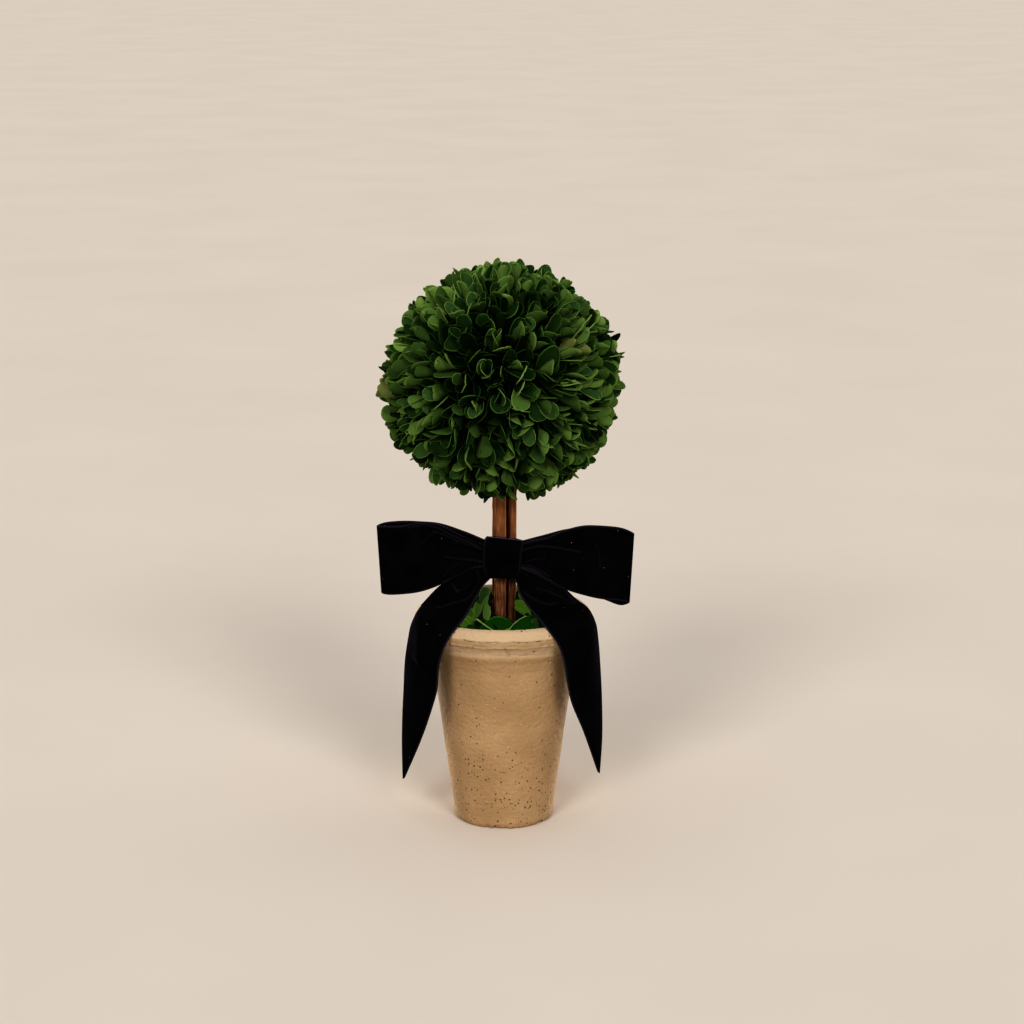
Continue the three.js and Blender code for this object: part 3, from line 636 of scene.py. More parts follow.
# Debarked birch sticks with some bast left on: long brown fibres, darker in the grooves, dry and dull.
def makeBark(name, light):
    material, tree, shader = newMaterial(name, Roughness=0.82, Specular_IOR_Level=0.0)
    place = placeOf(tree)
    along = addNode(tree, "ShaderNodeMapping", {"Vector": place, "Scale": (1, 1, 0.07)}).outputs[0]
    fibre = noiseOf(tree, along, 900.0, 5.0, Roughness=0.65)["Fac"]  # 1 mm fibres
    patch = noiseOf(tree, place, 90.0, 4.0)["Fac"]
    mixed = addNode(tree, "ShaderNodeMix", {"Factor": 0.35, 2: fibre, 3: patch}).outputs[0]
    shade = rampOf(tree, mixed, (0.36, "#201209"), (0.46, "#563623"), (0.55, light), (0.66, "#B0845A"))
    # a painted highlight runs down one side of each stick, and painted light makes the bark paler close under
    # the ball
    upper = mathOf(tree, "MULTIPLY", heightMask(tree, place, *trunk["paintedLightFrom"]), trunk["paintedLightShare"])
    bare = mathOf(tree, "MULTIPLY_ADD", attributeOf(tree, "bare"), trunk["bareShare"], upper)
    shade = mixOf(tree, bare, shade, "#C07C4A")
    # painted shade on the side of each stick that faces the bundle's heart
    shade = mixOf(tree, attributeOf(tree, "inside"), shade, "#0C0603")
    feed(tree, shader, shade, bumpOf(tree, fibre, 0.9, 0.6))
    return material


def makeSticks():
    pale, dark = makeBark("dryStickBark", "#7C4F34"), makeBark("dryStickBarkDark", "#744832")
    turn = turnsOf(trunk["columns"])
    # a painted highlight strip down one side of each stick
    side, width = trunk["bare"]
    bare = bump(turnGap(turn, side), width)
    for node, name, x, y, radius, lean, taper, knots in trunk["sticks"]:
        grid = stickGrid(x, y, radius, lean, taper, knots)
        piece = newPiece(name, grid, tubeFaces(trunk["rows"], trunk["columns"]))
        # the painted shade is strongest on the side that faces the bundle's heart
        heart = math.atan2(trunk["heart"][1] - y, trunk["heart"][0] - x - lean[0] / 2)
        inside = (np.cos(turn - heart) - trunk["shadeStart"]) * trunk["shadeGain"]
        setValues(piece, "inside", np.tile(inside.clip(0, trunk["shadeMost"]), trunk["rows"]))
        setValues(piece, "bare", np.tile(bare, trunk["rows"]))
        growMesh(piece, reliefTree, {
            "Depth": 0.75 * mm, "Scale": 420.0, "Stretch": (1, 1, 0.09), "Detail": 3.0})
        standFor(piece, "bark", [node], pale if node.endswith("left") else dark)


makeSticks()
print("sticks ready")

# A leaf is eight strips between stations: upper face, underside, and a pale rolled margin all round.
leafShapes = {
    # share of the length, then share of the half width
    "roundOutline": [(0, 0.08), (0.18, 0.22), (0.40, 0.62), (0.60, 0.94), (0.78, 0.98), (0.90, 0.78),
                     (0.97, 0.47), (1, 0.14)],
    "slimOutline": [(0, 0.09), (0.18, 0.34), (0.38, 0.76), (0.57, 1.0), (0.74, 0.92), (0.88, 0.66),
                    (0.965, 0.36), (1, 0.10)],
    "broadOutline": [(0, 0.05), (0.12, 0.38), (0.28, 0.76), (0.48, 1.0), (0.67, 0.92), (0.84, 0.62),
                     (0.95, 0.26), (1, 0.05)],
    "marginShare": 0.93, "marginLift": 0.8, "thickness": 0.048, "rib": 0.02,
    "narrow": 0.3, "narrowThickness": 0.8,
    # how strongly each bend works, and where the notch starts
    "cupping": 4, "bending": 1.6, "twisting": 2, "notching": 1.4, "sweeping": 1.5, "notchFrom": 0.9,
    # outline, cup, bend along, twist, notch, sweep sideways
    "kinds": [
        ("roundOutline", 0.16, 0.10, 0.05, 0.05, 0.03), ("roundOutline", 0.26, -0.12, -0.12, 0.02, -0.05),
        ("roundOutline", 0.08, 0.22, 0.18, 0.07, 0.06), ("slimOutline", 0.20, 0.16, -0.20, 0.03, 0.07),
        ("roundOutline", -0.10, 0.28, 0.08, 0.04, -0.04), ("slimOutline", 0.30, -0.06, 0.12, 0.05, -0.07),
        ("broadOutline", 0.14, 0.16, 0.10, 0.0, 0.05), ("broadOutline", 0.24, 0.30, -0.16, 0.0, -0.06),
    ],
}


def leafPoints(outline, cup, bend, twist, notch, sweep):
    inner, thick, rib = leafShapes["marginShare"], leafShapes["thickness"] / 2, leafShapes["rib"]
    near = thick * leafShapes["marginLift"]
    rings = []
    for along, wide in leafShapes[outline]:
        half = wide / 2
        across = np.array([-half, -half * inner, 0, half * inner, half, half, 0, -half])
        lift = np.array([thick, near, -rib, near, thick, -thick, -thick - rib, -thick])
        lift = lift * (1 if wide > leafShapes["narrow"] else leafShapes["narrowThickness"])
        lift = lift + cup * leafShapes["cupping"] * across ** 2
        lift = lift - bend * along ** 2 * leafShapes["bending"]
        lift = lift + twist * across * along * leafShapes["twisting"]
        back = notch * (1 - np.abs(across) / max(half, 1e-6)) * (along > leafShapes["notchFrom"])
        lengthwise = along - back * leafShapes["notching"] + 0 * across
        aside = sweep * along ** 2 * leafShapes["sweeping"]
        rings.append(np.stack([lengthwise, across + aside, lift], axis=1))
    return np.array(rings)


def makeLeafShapes():
    shelf = bpy.data.collections.new("leafShapes")
    scene.collection.children.link(shelf)
    for number, kind in enumerate(leafShapes["kinds"]):
        rings = leafPoints(*kind)
        piece = newPiece(f"leafShape{number}", rings / mm, tubeFaces(len(rings), 8))
        scene.collection.objects.unlink(piece)
        shelf.objects.link(piece)
        # 0 the upper face, 1 the underside, 2 the margin and the two ends
        zones = [2, 0, 0, 2, 2, 1, 1, 2] * (len(rings) - 1) + [2, 2]
        piece.data.attributes.new("zone", "INT", "FACE").data.foreach_set("value", zones)
    return shelf


def readOf(tree, name, kind):
    return addNode(tree, "GeometryNodeInputNamedAttribute", {"Name": name}, data_type=kind).outputs[0]


# Sets a leaf on each point, turned and sized by the point's own attributes.
def makeLeafTree():
    tree, given = newTree("leavesOnPoints", [
        ("Leaves", "NodeSocketCollection", None), ("Upper face", "NodeSocketMaterial", None),
        ("Underside", "NodeSocketMaterial", None), ("Margin", "NodeSocketMaterial", None)])
    axis, face, size = (readOf(tree, name, "FLOAT_VECTOR") for name in ("axis", "face", "size"))
    shapes = addNode(tree, "GeometryNodeCollectionInfo", {
        "Collection": given["Leaves"], "Separate Children": True, "Reset Children": True})
    turned = addNode(tree, "FunctionNodeAxesToRotation", {
        "Primary Axis": axis, "Secondary Axis": face}, primary_axis="X", secondary_axis="Z")
    placed = addNode(tree, "GeometryNodeInstanceOnPoints", {
        "Points": given["Geometry"], "Instance": shapes.outputs[0], "Pick Instance": True,
        "Instance Index": readOf(tree, "shape", "INT"), "Rotation": turned.outputs[0], "Scale": size})
    solid = addNode(tree, "GeometryNodeRealizeInstances", {0: placed.outputs[0]}).outputs[0]
    zone = readOf(tree, "zone", "INT")
    for number, label in enumerate(["Upper face", "Underside", "Margin"]):
        chosen = addNode(tree, "FunctionNodeCompare", {2: zone, 3: number},
                         data_type="INT", operation="EQUAL")
        solid = addNode(tree, "GeometryNodeSetMaterial", {
            "Geometry": solid, "Selection": chosen.outputs[0], "Material": given[label]}).outputs[0]
    addNode(tree, "NodeGroupOutput", {"Geometry": solid})
    return tree


# Turns a mesh of edges into round twigs, as thick as their points say.
def makeTwigTree():
    tree, given = newTree("twigsAlongEdges", [
        ("Sides", "NodeSocketInt", 5), ("Bark", "NodeSocketMaterial", None)])
    path = addNode(tree, "GeometryNodeMeshToCurve", {"Mesh": given["Geometry"]}).outputs[0]
    ring = addNode(tree, "GeometryNodeCurvePrimitiveCircle", {"Resolution": given["Sides"], "Radius": 1.0})
    tube = addNode(tree, "GeometryNodeCurveToMesh", {
        "Curve": path, "Profile Curve": ring.outputs[0], "Scale": readOf(tree, "thickness", "FLOAT"),
        "Fill Caps": True})
    barked = addNode(tree, "GeometryNodeSetMaterial", {
        "Geometry": tube.outputs[0], "Material": given["Bark"]})
    addNode(tree, "NodeGroupOutput", {"Geometry": barked.outputs[0]})
    return tree


leafShelf = makeLeafShapes()
leafTree = makeLeafTree()
twigTree = makeTwigTree()


# Preserved box leaves: dyed through and dried, so matt all over, darkest on top, paler below, and palest
# along the rolled margin, where the pale colour is partly the leaf's own and partly painted highlight. Each
# spray takes one tint, as plain colours.
leafTints = {
    "Deep": ("#091705", "#16260B", "#213A12"),
    "Box": ("#182E10", "#344C20", "#44642B"),
    "Mid": ("#304C24", "#526E32", "#64843E"),
    "Fresh": ("#4A682E", "#688540", "#7E9A50"),
    "Olive": ("#48582A", "#646E3C", "#7E8A50"),
    "Young": ("#4E7A24", "#709440", "#8EAE58"),
    "Broad": ("#0F3707", "#1F4C10", "#2C5E18"),
}


def makeLeafMaterials(tint):
    return [newMaterial(f"preservedBoxLeaf{label}{tint}", Base_Color=srgb(shade), Roughness=0.6,
                        Specular_IOR_Level=0.0)[0]
            for label, shade in zip(("Top", "Under", "Margin"), leafTints[tint])]


leafMaterials = {tint: makeLeafMaterials(tint) for tint in leafTints}


class Growth:
    def __init__(self):
        self.leaves = {tint: [] for tint in leafTints}
        self.twigs = []

    def addLeaf(self, tint, root, axis, face, length, width, shape):
        self.leaves[tint].append((root, axis, face, (length, width, width), shape))

    def addTwig(self, points, thickness):
        self.twigs.append((points, thickness))


def leafPieces(growth, prefix, slot, nodes):
    for tint, leaves in growth.leaves.items():
        if not leaves:
            continue
        roots, axes, faces, sizes, shapes = zip(*leaves)
        piece = newPiece(f"{prefix}Leaves{tint}", roots, [])
        for name, values in (("axis", axes), ("face", faces), ("size", np.array(sizes) * mm)):
            setValues(piece, name, values, "FLOAT_VECTOR")
        setValues(piece, "shape", shapes, "INT")
        top, under, margin = leafMaterials[tint]
        growMesh(piece, leafTree, {
            "Leaves": leafShelf, "Upper face": top, "Underside": under, "Margin": margin})
        for name in ("axis", "face", "size", "shape", "zone"):
            if name in piece.data.attributes:
                piece.data.attributes.remove(piece.data.attributes[name])
        standFor(piece, slot, nodes)
        triangles = sum(len(polygon.vertices) - 2 for polygon in piece.data.polygons)
        print(piece.name, len(leaves), "leaves", triangles, "triangles")


twigShape = {"sides": 5, "tipShare": 0.6}


# All the twigs of a growth as one piece. Each thins towards its tip.
def twigPiece(growth, name, slot, nodes, material):
    points, edges, widths = [], [], []
    for path, thickness in growth.twigs:
        start = len(points)
        points += list(path)
        edges += [(start + step, start + step + 1) for step in range(len(path) - 1)]
        widths += list(np.linspace(thickness, thickness * twigShape["tipShare"], len(path)))
    piece = newPiece(name, points, [], edges)
    setValues(piece, "thickness", np.array(widths) * mm)
    growMesh(piece, twigTree, {"Sides": twigShape["sides"], "Bark": material})
    standFor(piece, slot, nodes)


# The ball of leaves.
ball = {
    "centre": (-0.8, 0.0, 314.8), "reach": 86.4, "core": 51, "root": 45, "sprigs": 280, "seed": 7,
    "tip": (58.5, 66.5), "lean": (0.0, 0.25),
    # a leaf is tried at these shares of its length, and part of its width is kept off the trunk too
    "triedAt": (0.35, 0.7, 1.0), "trunkClear": 12.0, "sideShare": 0.25,
    # sprigs lean away from the middle of the front and of the back, and in drifts besides
    "flow": [((-0.17, -0.93, 0.28), 0.85), ((0.1, 0.98, 0.2), 0.85)], "drift": 0.9, "driftScale": 2.2,
    "driftShifts": (0.5, 31.5, 67.5), "backset": 0.33,
    "twig": 0.75, "twigSunk": 6, "wisp": 0.2, "shapes": 6,
    "pairs": [  # place along the twig, angle from it in degrees, leaf length
        (0.26, (20, 38), (20, 25)), (0.55, (13, 31), (22, 28)), (0.80, (7, 25), (21.5, 28)),
        (1.00, (2, 15), (19.5, 25))],
    "tipReach": (76.5, 86.4), "tipSpread": 0.6, "leastLeaf": 9, "trim": (1.1, 0.1),
    "slenderness": (0.35, 0.53), "broad": (0.14, 1.22),
    "roll": 46, "turnWander": 30,
    "tints": [("Box", 0.50), ("Deep", 0.20), ("Mid", 0.22), ("Fresh", 0.07), ("Olive", 0.01)],
    # one tint lighter, used as painted light on tips and on sprigs away from the partings
    "paintedLighter": {"Deep": "Box", "Box": "Mid"},
    "strayTint": 0.32, "innerPaintedShade": 0.45, "tipPaintedLight": 0.28, "paintedLightEvery": 2, "paintedLightBeyond": 0.2,
    # the partings: their width, and how much more often a sprig or an inner pair takes the dark tint there,
    # as painted shade
    "partingWidth": 0.5, "partingPaintedShade": 0.6, "partingInner": 0.4,
    # where the clipping was less even: direction, how much further the leaves reach, how wide
    "swell": [((0.96, 0.06, 0.26), 5.0, 0.20), ((-0.1, 0.24, 0.97), 2.6, 0.30),
              ((-1.0, 0.0, -0.14), 4.4, 0.42), ((-0.66, 0.16, 0.66), -1.6, 0.28)],
    "wisps": [((45, -36, 47), (52, -43, 58)), ((46, -36, 46), (55, -42, 54)),
              ((44, -37, 47), (49, -45, 57))],
}


def spreadDirection(index, count):
    height = 1 - 2 * (index + 0.5) / count
    ring = math.sqrt(1 - height * height)
    turn = index * math.pi * (3 - math.sqrt(5))
    return np.array((ring * math.cos(turn), ring * math.sin(turn), height))


def sideways(direction, turn):
    helper = np.array((1.0, 0, 0)) if abs(direction[2]) > 0.9 else upAxis
    east = unit(np.cross(helper, direction))
    north = np.cross(direction, east)
    return east * math.cos(turn) + north * math.sin(turn)


def driftAt(direction):
    place = Vector(direction) * ball["driftScale"]
    clouds = [noise.noise(place + Vector((0, 0, shift))) for shift in ball["driftShifts"]]
    lean = np.array(clouds) * ball["drift"]
    for pole, strength in ball["flow"]:
        pole = unit(pole)
        cosine = float(pole @ direction)
        if cosine > 0:
            lean = lean + (direction * cosine - pole) * strength * 2 * cosine
    return lean - direction * (lean @ direction)


def swellAt(direction):
    return sum(amount * bump(np.linalg.norm(direction - unit(middle)), width)
               for middle, amount, width in ball["swell"])


def dealTint(draw, tints):
    for tint, share in tints:
        draw -= share
        if draw < 0:
            return tint
    return tints[0][0]


# True if a leaf from its root to its tip keeps clear of the trunk and within the ball's reach.
def leafFits(root, axis, length, width, swell):
    for share in ball["triedAt"]:
        point = root + axis * length * share
        beside = math.hypot(point[0] + ball["centre"][0], point[1])
        if point[2] < 0 and beside < ball["trunkClear"] + width * ball["sideShare"]:
            return False
        if np.linalg.norm(point) > ball["reach"] + swell:
            return False
    return True


# One leaf of a pair: its direction, the way its face looks, its length, width and shape.
def drawLeaf(rng, axis, around, angles, lengths):
    out = sideways(axis, around + math.radians(rng.uniform(-1, 1) * ball["turnWander"]))
    angle = math.radians(rng.uniform(*angles))
    along = axis * math.cos(angle) + out * math.sin(angle)
    face = axis * math.sin(angle) - out * math.cos(angle)
    roll = math.radians(rng.uniform(-1, 1) * ball["roll"])
    face = face * math.cos(roll) + np.cross(along, face) * math.sin(roll)
    size = rng.uniform(*lengths)
    width = size * rng.uniform(*ball["slenderness"])
    if rng.random() < ball["broad"][0]:
        width *= ball["broad"][1]
    return along, face, size, width, rng.randrange(ball["shapes"])


# The older, inner pairs take the dark tint as painted shade, and some of the youngest at the tips a lighter
# tint as painted light.
def leafTint(rng, tint, number, parted):
    stray = rng.random() < ball["strayTint"]
    shade = dealTint(rng.random(), ball["tints"]) if stray else tint
    inner = ball["innerPaintedShade"] + ball["partingInner"] * parted
    if number == 0 or (number == 1 and rng.random() < inner):
        return "Deep"
    if number == 3 and rng.random() < ball["tipPaintedLight"]:
        return ball["paintedLighter"].get(shade, shade)
    return shade


def growBall():
    rng = random.Random(ball["seed"])
    growth = Growth()
    centre = np.array(ball["centre"])
    for index in range(ball["sprigs"]):
        direction = spreadDirection(index, ball["sprigs"])
        swell = swellAt(direction)
        parted = max(bump(np.linalg.norm(direction - unit(pole)), ball["partingWidth"])
                     for pole, _ in ball["flow"])
        side = sideways(direction, rng.uniform(0, 2 * math.pi))
        lean = driftAt(direction) + side * rng.uniform(*ball["lean"])
        # the tips are spread evenly, and each root is set back against the lean
        root = unit(direction - lean * ball["backset"]) * ball["root"]
        tip = direction * (rng.uniform(*ball["tip"]) + swell)
        length = np.linalg.norm(tip - root)
        axis = (tip - root) / length
        tint = dealTint(rng.random(), ball["tints"])
        # at a parting more sprigs take the dark tint as painted shade, and away from the partings every other
        # sprig takes a lighter tint as painted light
        tint = "Deep" if rng.random() < ball["partingPaintedShade"] * parted else tint
        if index % ball["paintedLightEvery"] == 0 and parted < ball["paintedLightBeyond"]:
            tint = ball["paintedLighter"].get(tint, tint)
        if not leafFits(root, axis, length, 0, swell):
            continue
        growth.addTwig([root + centre - axis * ball["twigSunk"], root + centre, tip + centre], ball["twig"])
        turn = rng.uniform(0, math.pi)
        for number, (place, angles, lengths) in enumerate(ball["pairs"]):
            joint = root + axis * length * place
            for half in range(2):
                around = turn + number * math.pi / 2 + half * math.pi
                along, face, size, width, shape = drawLeaf(rng, axis, around, angles, lengths)
                limit = between(ball["tipReach"], rng.random() ** ball["tipSpread"]) + swell
                over = np.linalg.norm(joint + along * size) - limit
                if over > 0:
                    size -= over * ball["trim"][0] + ball["trim"][1]
                if size > ball["leastLeaf"] and leafFits(joint, along, size, width, swell):
                    shade = leafTint(rng, tint, number, parted)
                    growth.addLeaf(shade, joint + centre, along, face, size, width, shape)
    for start, end in ball["wisps"]:
        growth.addTwig([np.array(start) + centre, np.array(end) + centre], ball["wisp"])
    return growth


# Dry floral foam with moss pressed on, coloured almost black as painted shade between the leaves.
def makeCore():
    bpy.ops.mesh.primitive_ico_sphere_add(subdivisions=5, radius=ball["core"] * mm)
    core = bpy.context.object
    core.name = "ballCore"
    for vertex in core.data.vertices:
        vertex.co += Vector(ball["centre"]) * mm
    core.data.polygons.foreach_set("use_smooth", [True] * len(core.data.polygons))
    growMesh(core, reliefTree, {"Depth": 3.0 * mm, "Scale": 120.0, "Detail": 4.0})
    material, tree, shader = newMaterial("mossedFoamPaintedShade", Roughness=1.0, Specular_IOR_Level=0.0)
    moss = noiseOf(tree, placeOf(tree), 260.0, 4.0)["Fac"]  # 4 mm tufts
    feed(tree, shader, rampOf(tree, moss, (0.35, "#030502"), (0.65, "#080C05")))
    standFor(core, "foliage", ["foliage_ball"], material)


# Young box twigs: a thin green-brown skin with a dull face.
twigBark = newMaterial("greenTwigBark", Roughness=0.7, Base_Color=srgb("#4A4A22"))[0]

ballGrowth = growBall()
makeCore()
leafPieces(ballGrowth, "ball", "foliage", ["foliage_ball"])
twigPiece(ballGrowth, "ballTwigs", "foliage", ["foliage_ball"], twigBark)
print("ball ready")

# The foliage at the foot.
foot = {
    "ground": 142.9, "reach": 51, "stickClear": 11.0, "ceiling": (175, 14, 0.62), "seed": 23,
    "triedAt": (0.3, 0.65, 1.0), "sideShare": 0.15,
    "masses": [  # from and to in degrees, radius of the runner, twigs, rise, leaf length and width
        (98, 186, 29, 15, (13, 24), (15, 8.5)), (-76, 6, 30, 14, (11, 20), (15, 8.5)),
        (12, 92, 29, 22, (13, 22), (15, 8.5)), (-166, -84, 36, 11, (4, 9), (17, 10)),
    ],
    "runner": {"above": 1.4, "from": 0.03, "to": 0.97, "knees": 9, "wander": 1.5, "steps": 25, "thick": 1.3},
    "leanOut": (8, 14), "leanIn": (-6, 0), "leanAcross": 6, "outerRise": 0.5, "underOpen": 3,
    "twig": 0.7, "twigBow": 0.5, "spacing": 4.6, "firstPair": 0.8, "turnWander": 0.25,
    "leafRise": (0.15, 1.0), "variety": (0.8, 1.15), "shapes": (0, 1, 3, 5, 6),
    "tints": [("Box", 0.30), ("Mid", 0.40), ("Fresh", 0.22), ("Deep", 0.08)],
    # what the tails frame: here the leaves are set one by one, as the photograph shows them
    "window": {"left": -34, "right": 33, "back": 14}, "openStrip": (-15, 20, 154),
    "shown": [  # root, tip, width, face, shape, tint
        ((-17.6, -45.0, 150.2), (7.8, -47.0, 153.4), 15.2, (0.02, -0.80, 0.60), 6, "Broad"),
        ((-20.0, -39.5, 153.6), (-4.0, -48.0, 150.4), 9.0, (-0.1, -0.84, 0.5), 6, "Deep"),
        ((2.0, -49.4, 148.6), (26.0, -40.0, 157.6), 10.5, (0.10, -0.84, 0.52), 6, "Broad"),
        ((-16.4, -13.0, 157.6), (-11.6, -12.5, 171.4), 7.6, (0.30, -0.94, 0.12), 0, "Mid"),
        ((-19.4, -23.0, 151.0), (-10.2, -13.0, 165.6), 3.6, (0.20, -0.84, 0.40), 3, "Fresh"),
        ((-12.4, -24.0, 148.6), (-10.5, -21.0, 162.0), 5.6, (0.15, -0.97, 0.15), 6, "Fresh"),
        ((-10.2, -4.0, 157.6), (-8.4, -3.0, 163.6), 3.6, (0.20, -0.95, 0.2), 1, "Deep"),
        ((-20.2, -27.0, 151.6), (-18.2, -24.0, 164.2), 3.8, (-0.20, -0.95, 0.20), 3, "Young"),
        ((-20.6, -27.0, 151.6), (-22.4, -25.0, 160.6), 3.8, (0.30, -0.92, 0.15), 3, "Young"),
        ((-20.4, -26.0, 151.6), (-16.8, -22.0, 162.4), 3.6, (0.20, -0.90, 0.30), 1, "Fresh"),
        ((-21.4, -29.0, 151.6), (-26.0, -28.0, 159.6), 6.0, (0.30, -0.90, 0.30), 1, "Fresh"),
        ((-20.0, -33.0, 150.6), (-28.4, -36.0, 156.8), 6.4, (-0.20, -0.70, 0.70), 6, "Young"),
        ((-20.0, -38.0, 148.6), (-31.2, -41.0, 153.6), 7.0, (-0.10, -0.75, 0.65), 1, "Young"),
        ((-16.0, -38.0, 148.6), (-24.6, -45.0, 151.4), 7.0, (0.10, -0.80, 0.60), 0, "Box"),
        ((-17.0, -36.0, 148.6), (-15.6, -40.0, 155.6), 6.0, (-0.2, -0.90, 0.30), 0, "Deep"),
        ((8.4, 2.0, 156.6), (11.2, 1.0, 164.6), 4.4, (0.10, -0.95, 0.2), 0, "Mid"),
        ((20.6, -16.5, 150.4), (8.8, -6.0, 161.2), 6.2, (0.30, -0.80, 0.50), 3, "Young"),
        ((19.4, -17.5, 149.8), (7.8, -9.0, 157.0), 3.2, (0.30, -0.80, 0.50), 3, "Young"),
        ((18.0, -8.0, 155.4), (11.6, -4.0, 166.0), 5.2, (0.30, -0.92, 0.2), 0, "Fresh"),
        ((20.0, -21.0, 148.4), (8.6, -12.0, 153.0), 9.0, (0.15, -0.85, 0.50), 6, "Deep"),
        ((24.6, -43.0, 148.4), (21.8, -40.5, 157.6), 6.0, (-0.60, -0.75, 0.20), 1, "Mid"),
        ((23.4, -43.0, 148.8), (28.6, -40.0, 155.8), 5.6, (0.50, -0.80, 0.30), 1, "Box"),
        ((-0.4, -50.8, 150.7), (4.4, -50.3, 151.9), 2.2, (0.0, -0.9, 0.4), 0, "Young"),
        ((-6.0, -30.0, 147.0), (6.0, -34.0, 152.0), 11.0, (0.0, -0.80, 0.60), 6, "Deep"),
        ((12.0, -30.0, 147.0), (26.0, -28.0, 153.0), 11.0, (0.1, -0.80, 0.60), 6, "Deep"),
        ((-10.0, -28.0, 147.0), (-24.0, -22.0, 152.0), 10.0, (0.1, -0.80, 0.60), 6, "Deep"),
    ],
    "stalks": [  # thickness, path
        (0.85, [(-19.8, -36.0, 154.0), (-18.4, -38.6, 156.1), (-12.4, -47.4, 154.1), (-6.6, -50.6, 151.3)]),
        (0.5, [(3.2, -50.6, 151.4), (4.8, -49.0, 152.6), (6.8, -46.8, 154.6), (11.4, -43.8, 157.6),
               (15.8, -41.8, 159.2)])],
}


def footCeilingAt(point):
    height, start, slope = foot["ceiling"]
    return height - slope * max(0, math.hypot(point[0], point[1]) - start)


def footFits(root, along, length, width):
    for share in foot["triedAt"]:
        point = root + along * length * share
        radius = math.hypot(point[0], point[1])
        if radius > foot["reach"] - width * foot["sideShare"] or radius < foot["stickClear"]:
            return False
        if not foot["ground"] < point[2] < footCeilingAt(point):
            return False
        low, high, level = foot["openStrip"]
        if low < point[0] < high and point[1] > 0 and point[2] > level:
            return False
    return True


def inWindow(point):
    window = foot["window"]
    return window["left"] < point[0] < window["right"] and point[1] < window["back"]


def footSprig(growth, rng, start, end, leaf, tint):
    axis = unit(end - start)
    if not inWindow(end):
        middle = (start + end) / 2 + rng.uniform(-foot["twigBow"], foot["twigBow"])
        growth.addTwig([start, middle, end], foot["twig"])
    pairs = max(2, round(np.linalg.norm(end - start) / foot["spacing"]))
    turn = rng.uniform(0, math.pi)
    for pair in range(pairs):
        joint = start + (end - start) * (pair + foot["firstPair"]) / pairs
        for half in range(2):
            around = turn + pair * math.pi / 2 + half * math.pi
            out = sideways(axis, around + rng.uniform(-foot["turnWander"], foot["turnWander"]))
            along = unit(out + axis * rng.uniform(*foot["leafRise"]))
            face = unit(axis - along * (axis @ along))
            size = leaf[0] * rng.uniform(*foot["variety"])
            width = leaf[1] * rng.uniform(*foot["variety"])
            shape = rng.choice(foot["shapes"])
            if footFits(joint, along, size, width) and not inWindow(joint + along * size):
                growth.addLeaf(tint, joint, along, face, size, width, shape)


# A runner along each mass, laid on the filling.
def footRunner(rng, low, high, radius):
    runner = foot["runner"]
    route = []
    for share in np.linspace(runner["from"], runner["to"], runner["knees"]):
        angle = math.radians(between((low, high), share))
        reach = radius + rng.uniform(-runner["wander"], runner["wander"])
        route.append((reach * math.cos(angle), reach * math.sin(angle), foot["ground"] + runner["above"]))
    return smoothPath(route, runner["steps"])


def growFoot():
    rng = random.Random(foot["seed"])
    growth = Growth()
    left, right, ceiling = foot["openStrip"]
    for low, high, radius, twigs, rise, leaf in foot["masses"]:
        route = footRunner(rng, low, high, radius)
        growth.addTwig(list(route), foot["runner"]["thick"])
        for number in range(twigs):
            leansOut = number % 2 == 0
            start = route[int((number + 0.5) / twigs * (len(route) - 1))]
            outward = unit(start * (1, 1, 0))
            across = np.cross(upAxis, outward)
            end = start + outward * rng.uniform(*(foot["leanOut"] if leansOut else foot["leanIn"]))
            end = end + across * rng.uniform(-1, 1) * foot["leanAcross"]
            end = end + upAxis * rng.uniform(*rise) * (foot["outerRise"] if leansOut else 1)
            if left < end[0] < right and end[1] > 0:
                end[2] = min(end[2], ceiling - foot["underOpen"])
            tint = dealTint(rng.random(), foot["tints"])
            footSprig(growth, rng, start, end, leaf, tint)
    for root, tip, width, face, shape, tint in foot["shown"]:
        root, tip = np.array(root), np.array(tip)
        length = np.linalg.norm(tip - root)
        growth.addLeaf(tint, root, unit(tip - root), np.array(face), length, width, shape)
    for thickness, path in foot["stalks"]:
        growth.addTwig([np.array(point) for point in path], thickness)
    return growth


footNodes = ["foot_foliage_left", "foot_foliage_right", "foot_foliage_back", "foot_foliage_front"]
footGrowth = growFoot()
leafPieces(footGrowth, "foot", "foot_leaves", footNodes)
# Leaf stalks: smooth green skin, a little brighter than the leaves.
petioleSkin = newMaterial("paleLeafStalk", Roughness=0.6, Base_Color=srgb("#6C8A3E"))[0]
twigPiece(footGrowth, "footTwigs", "foot_leaves", footNodes, petioleSkin)
for shape in list(leafShelf.objects):
    bpy.data.objects.remove(shape)
bpy.data.collections.remove(leafShelf)
print("foot foliage ready")

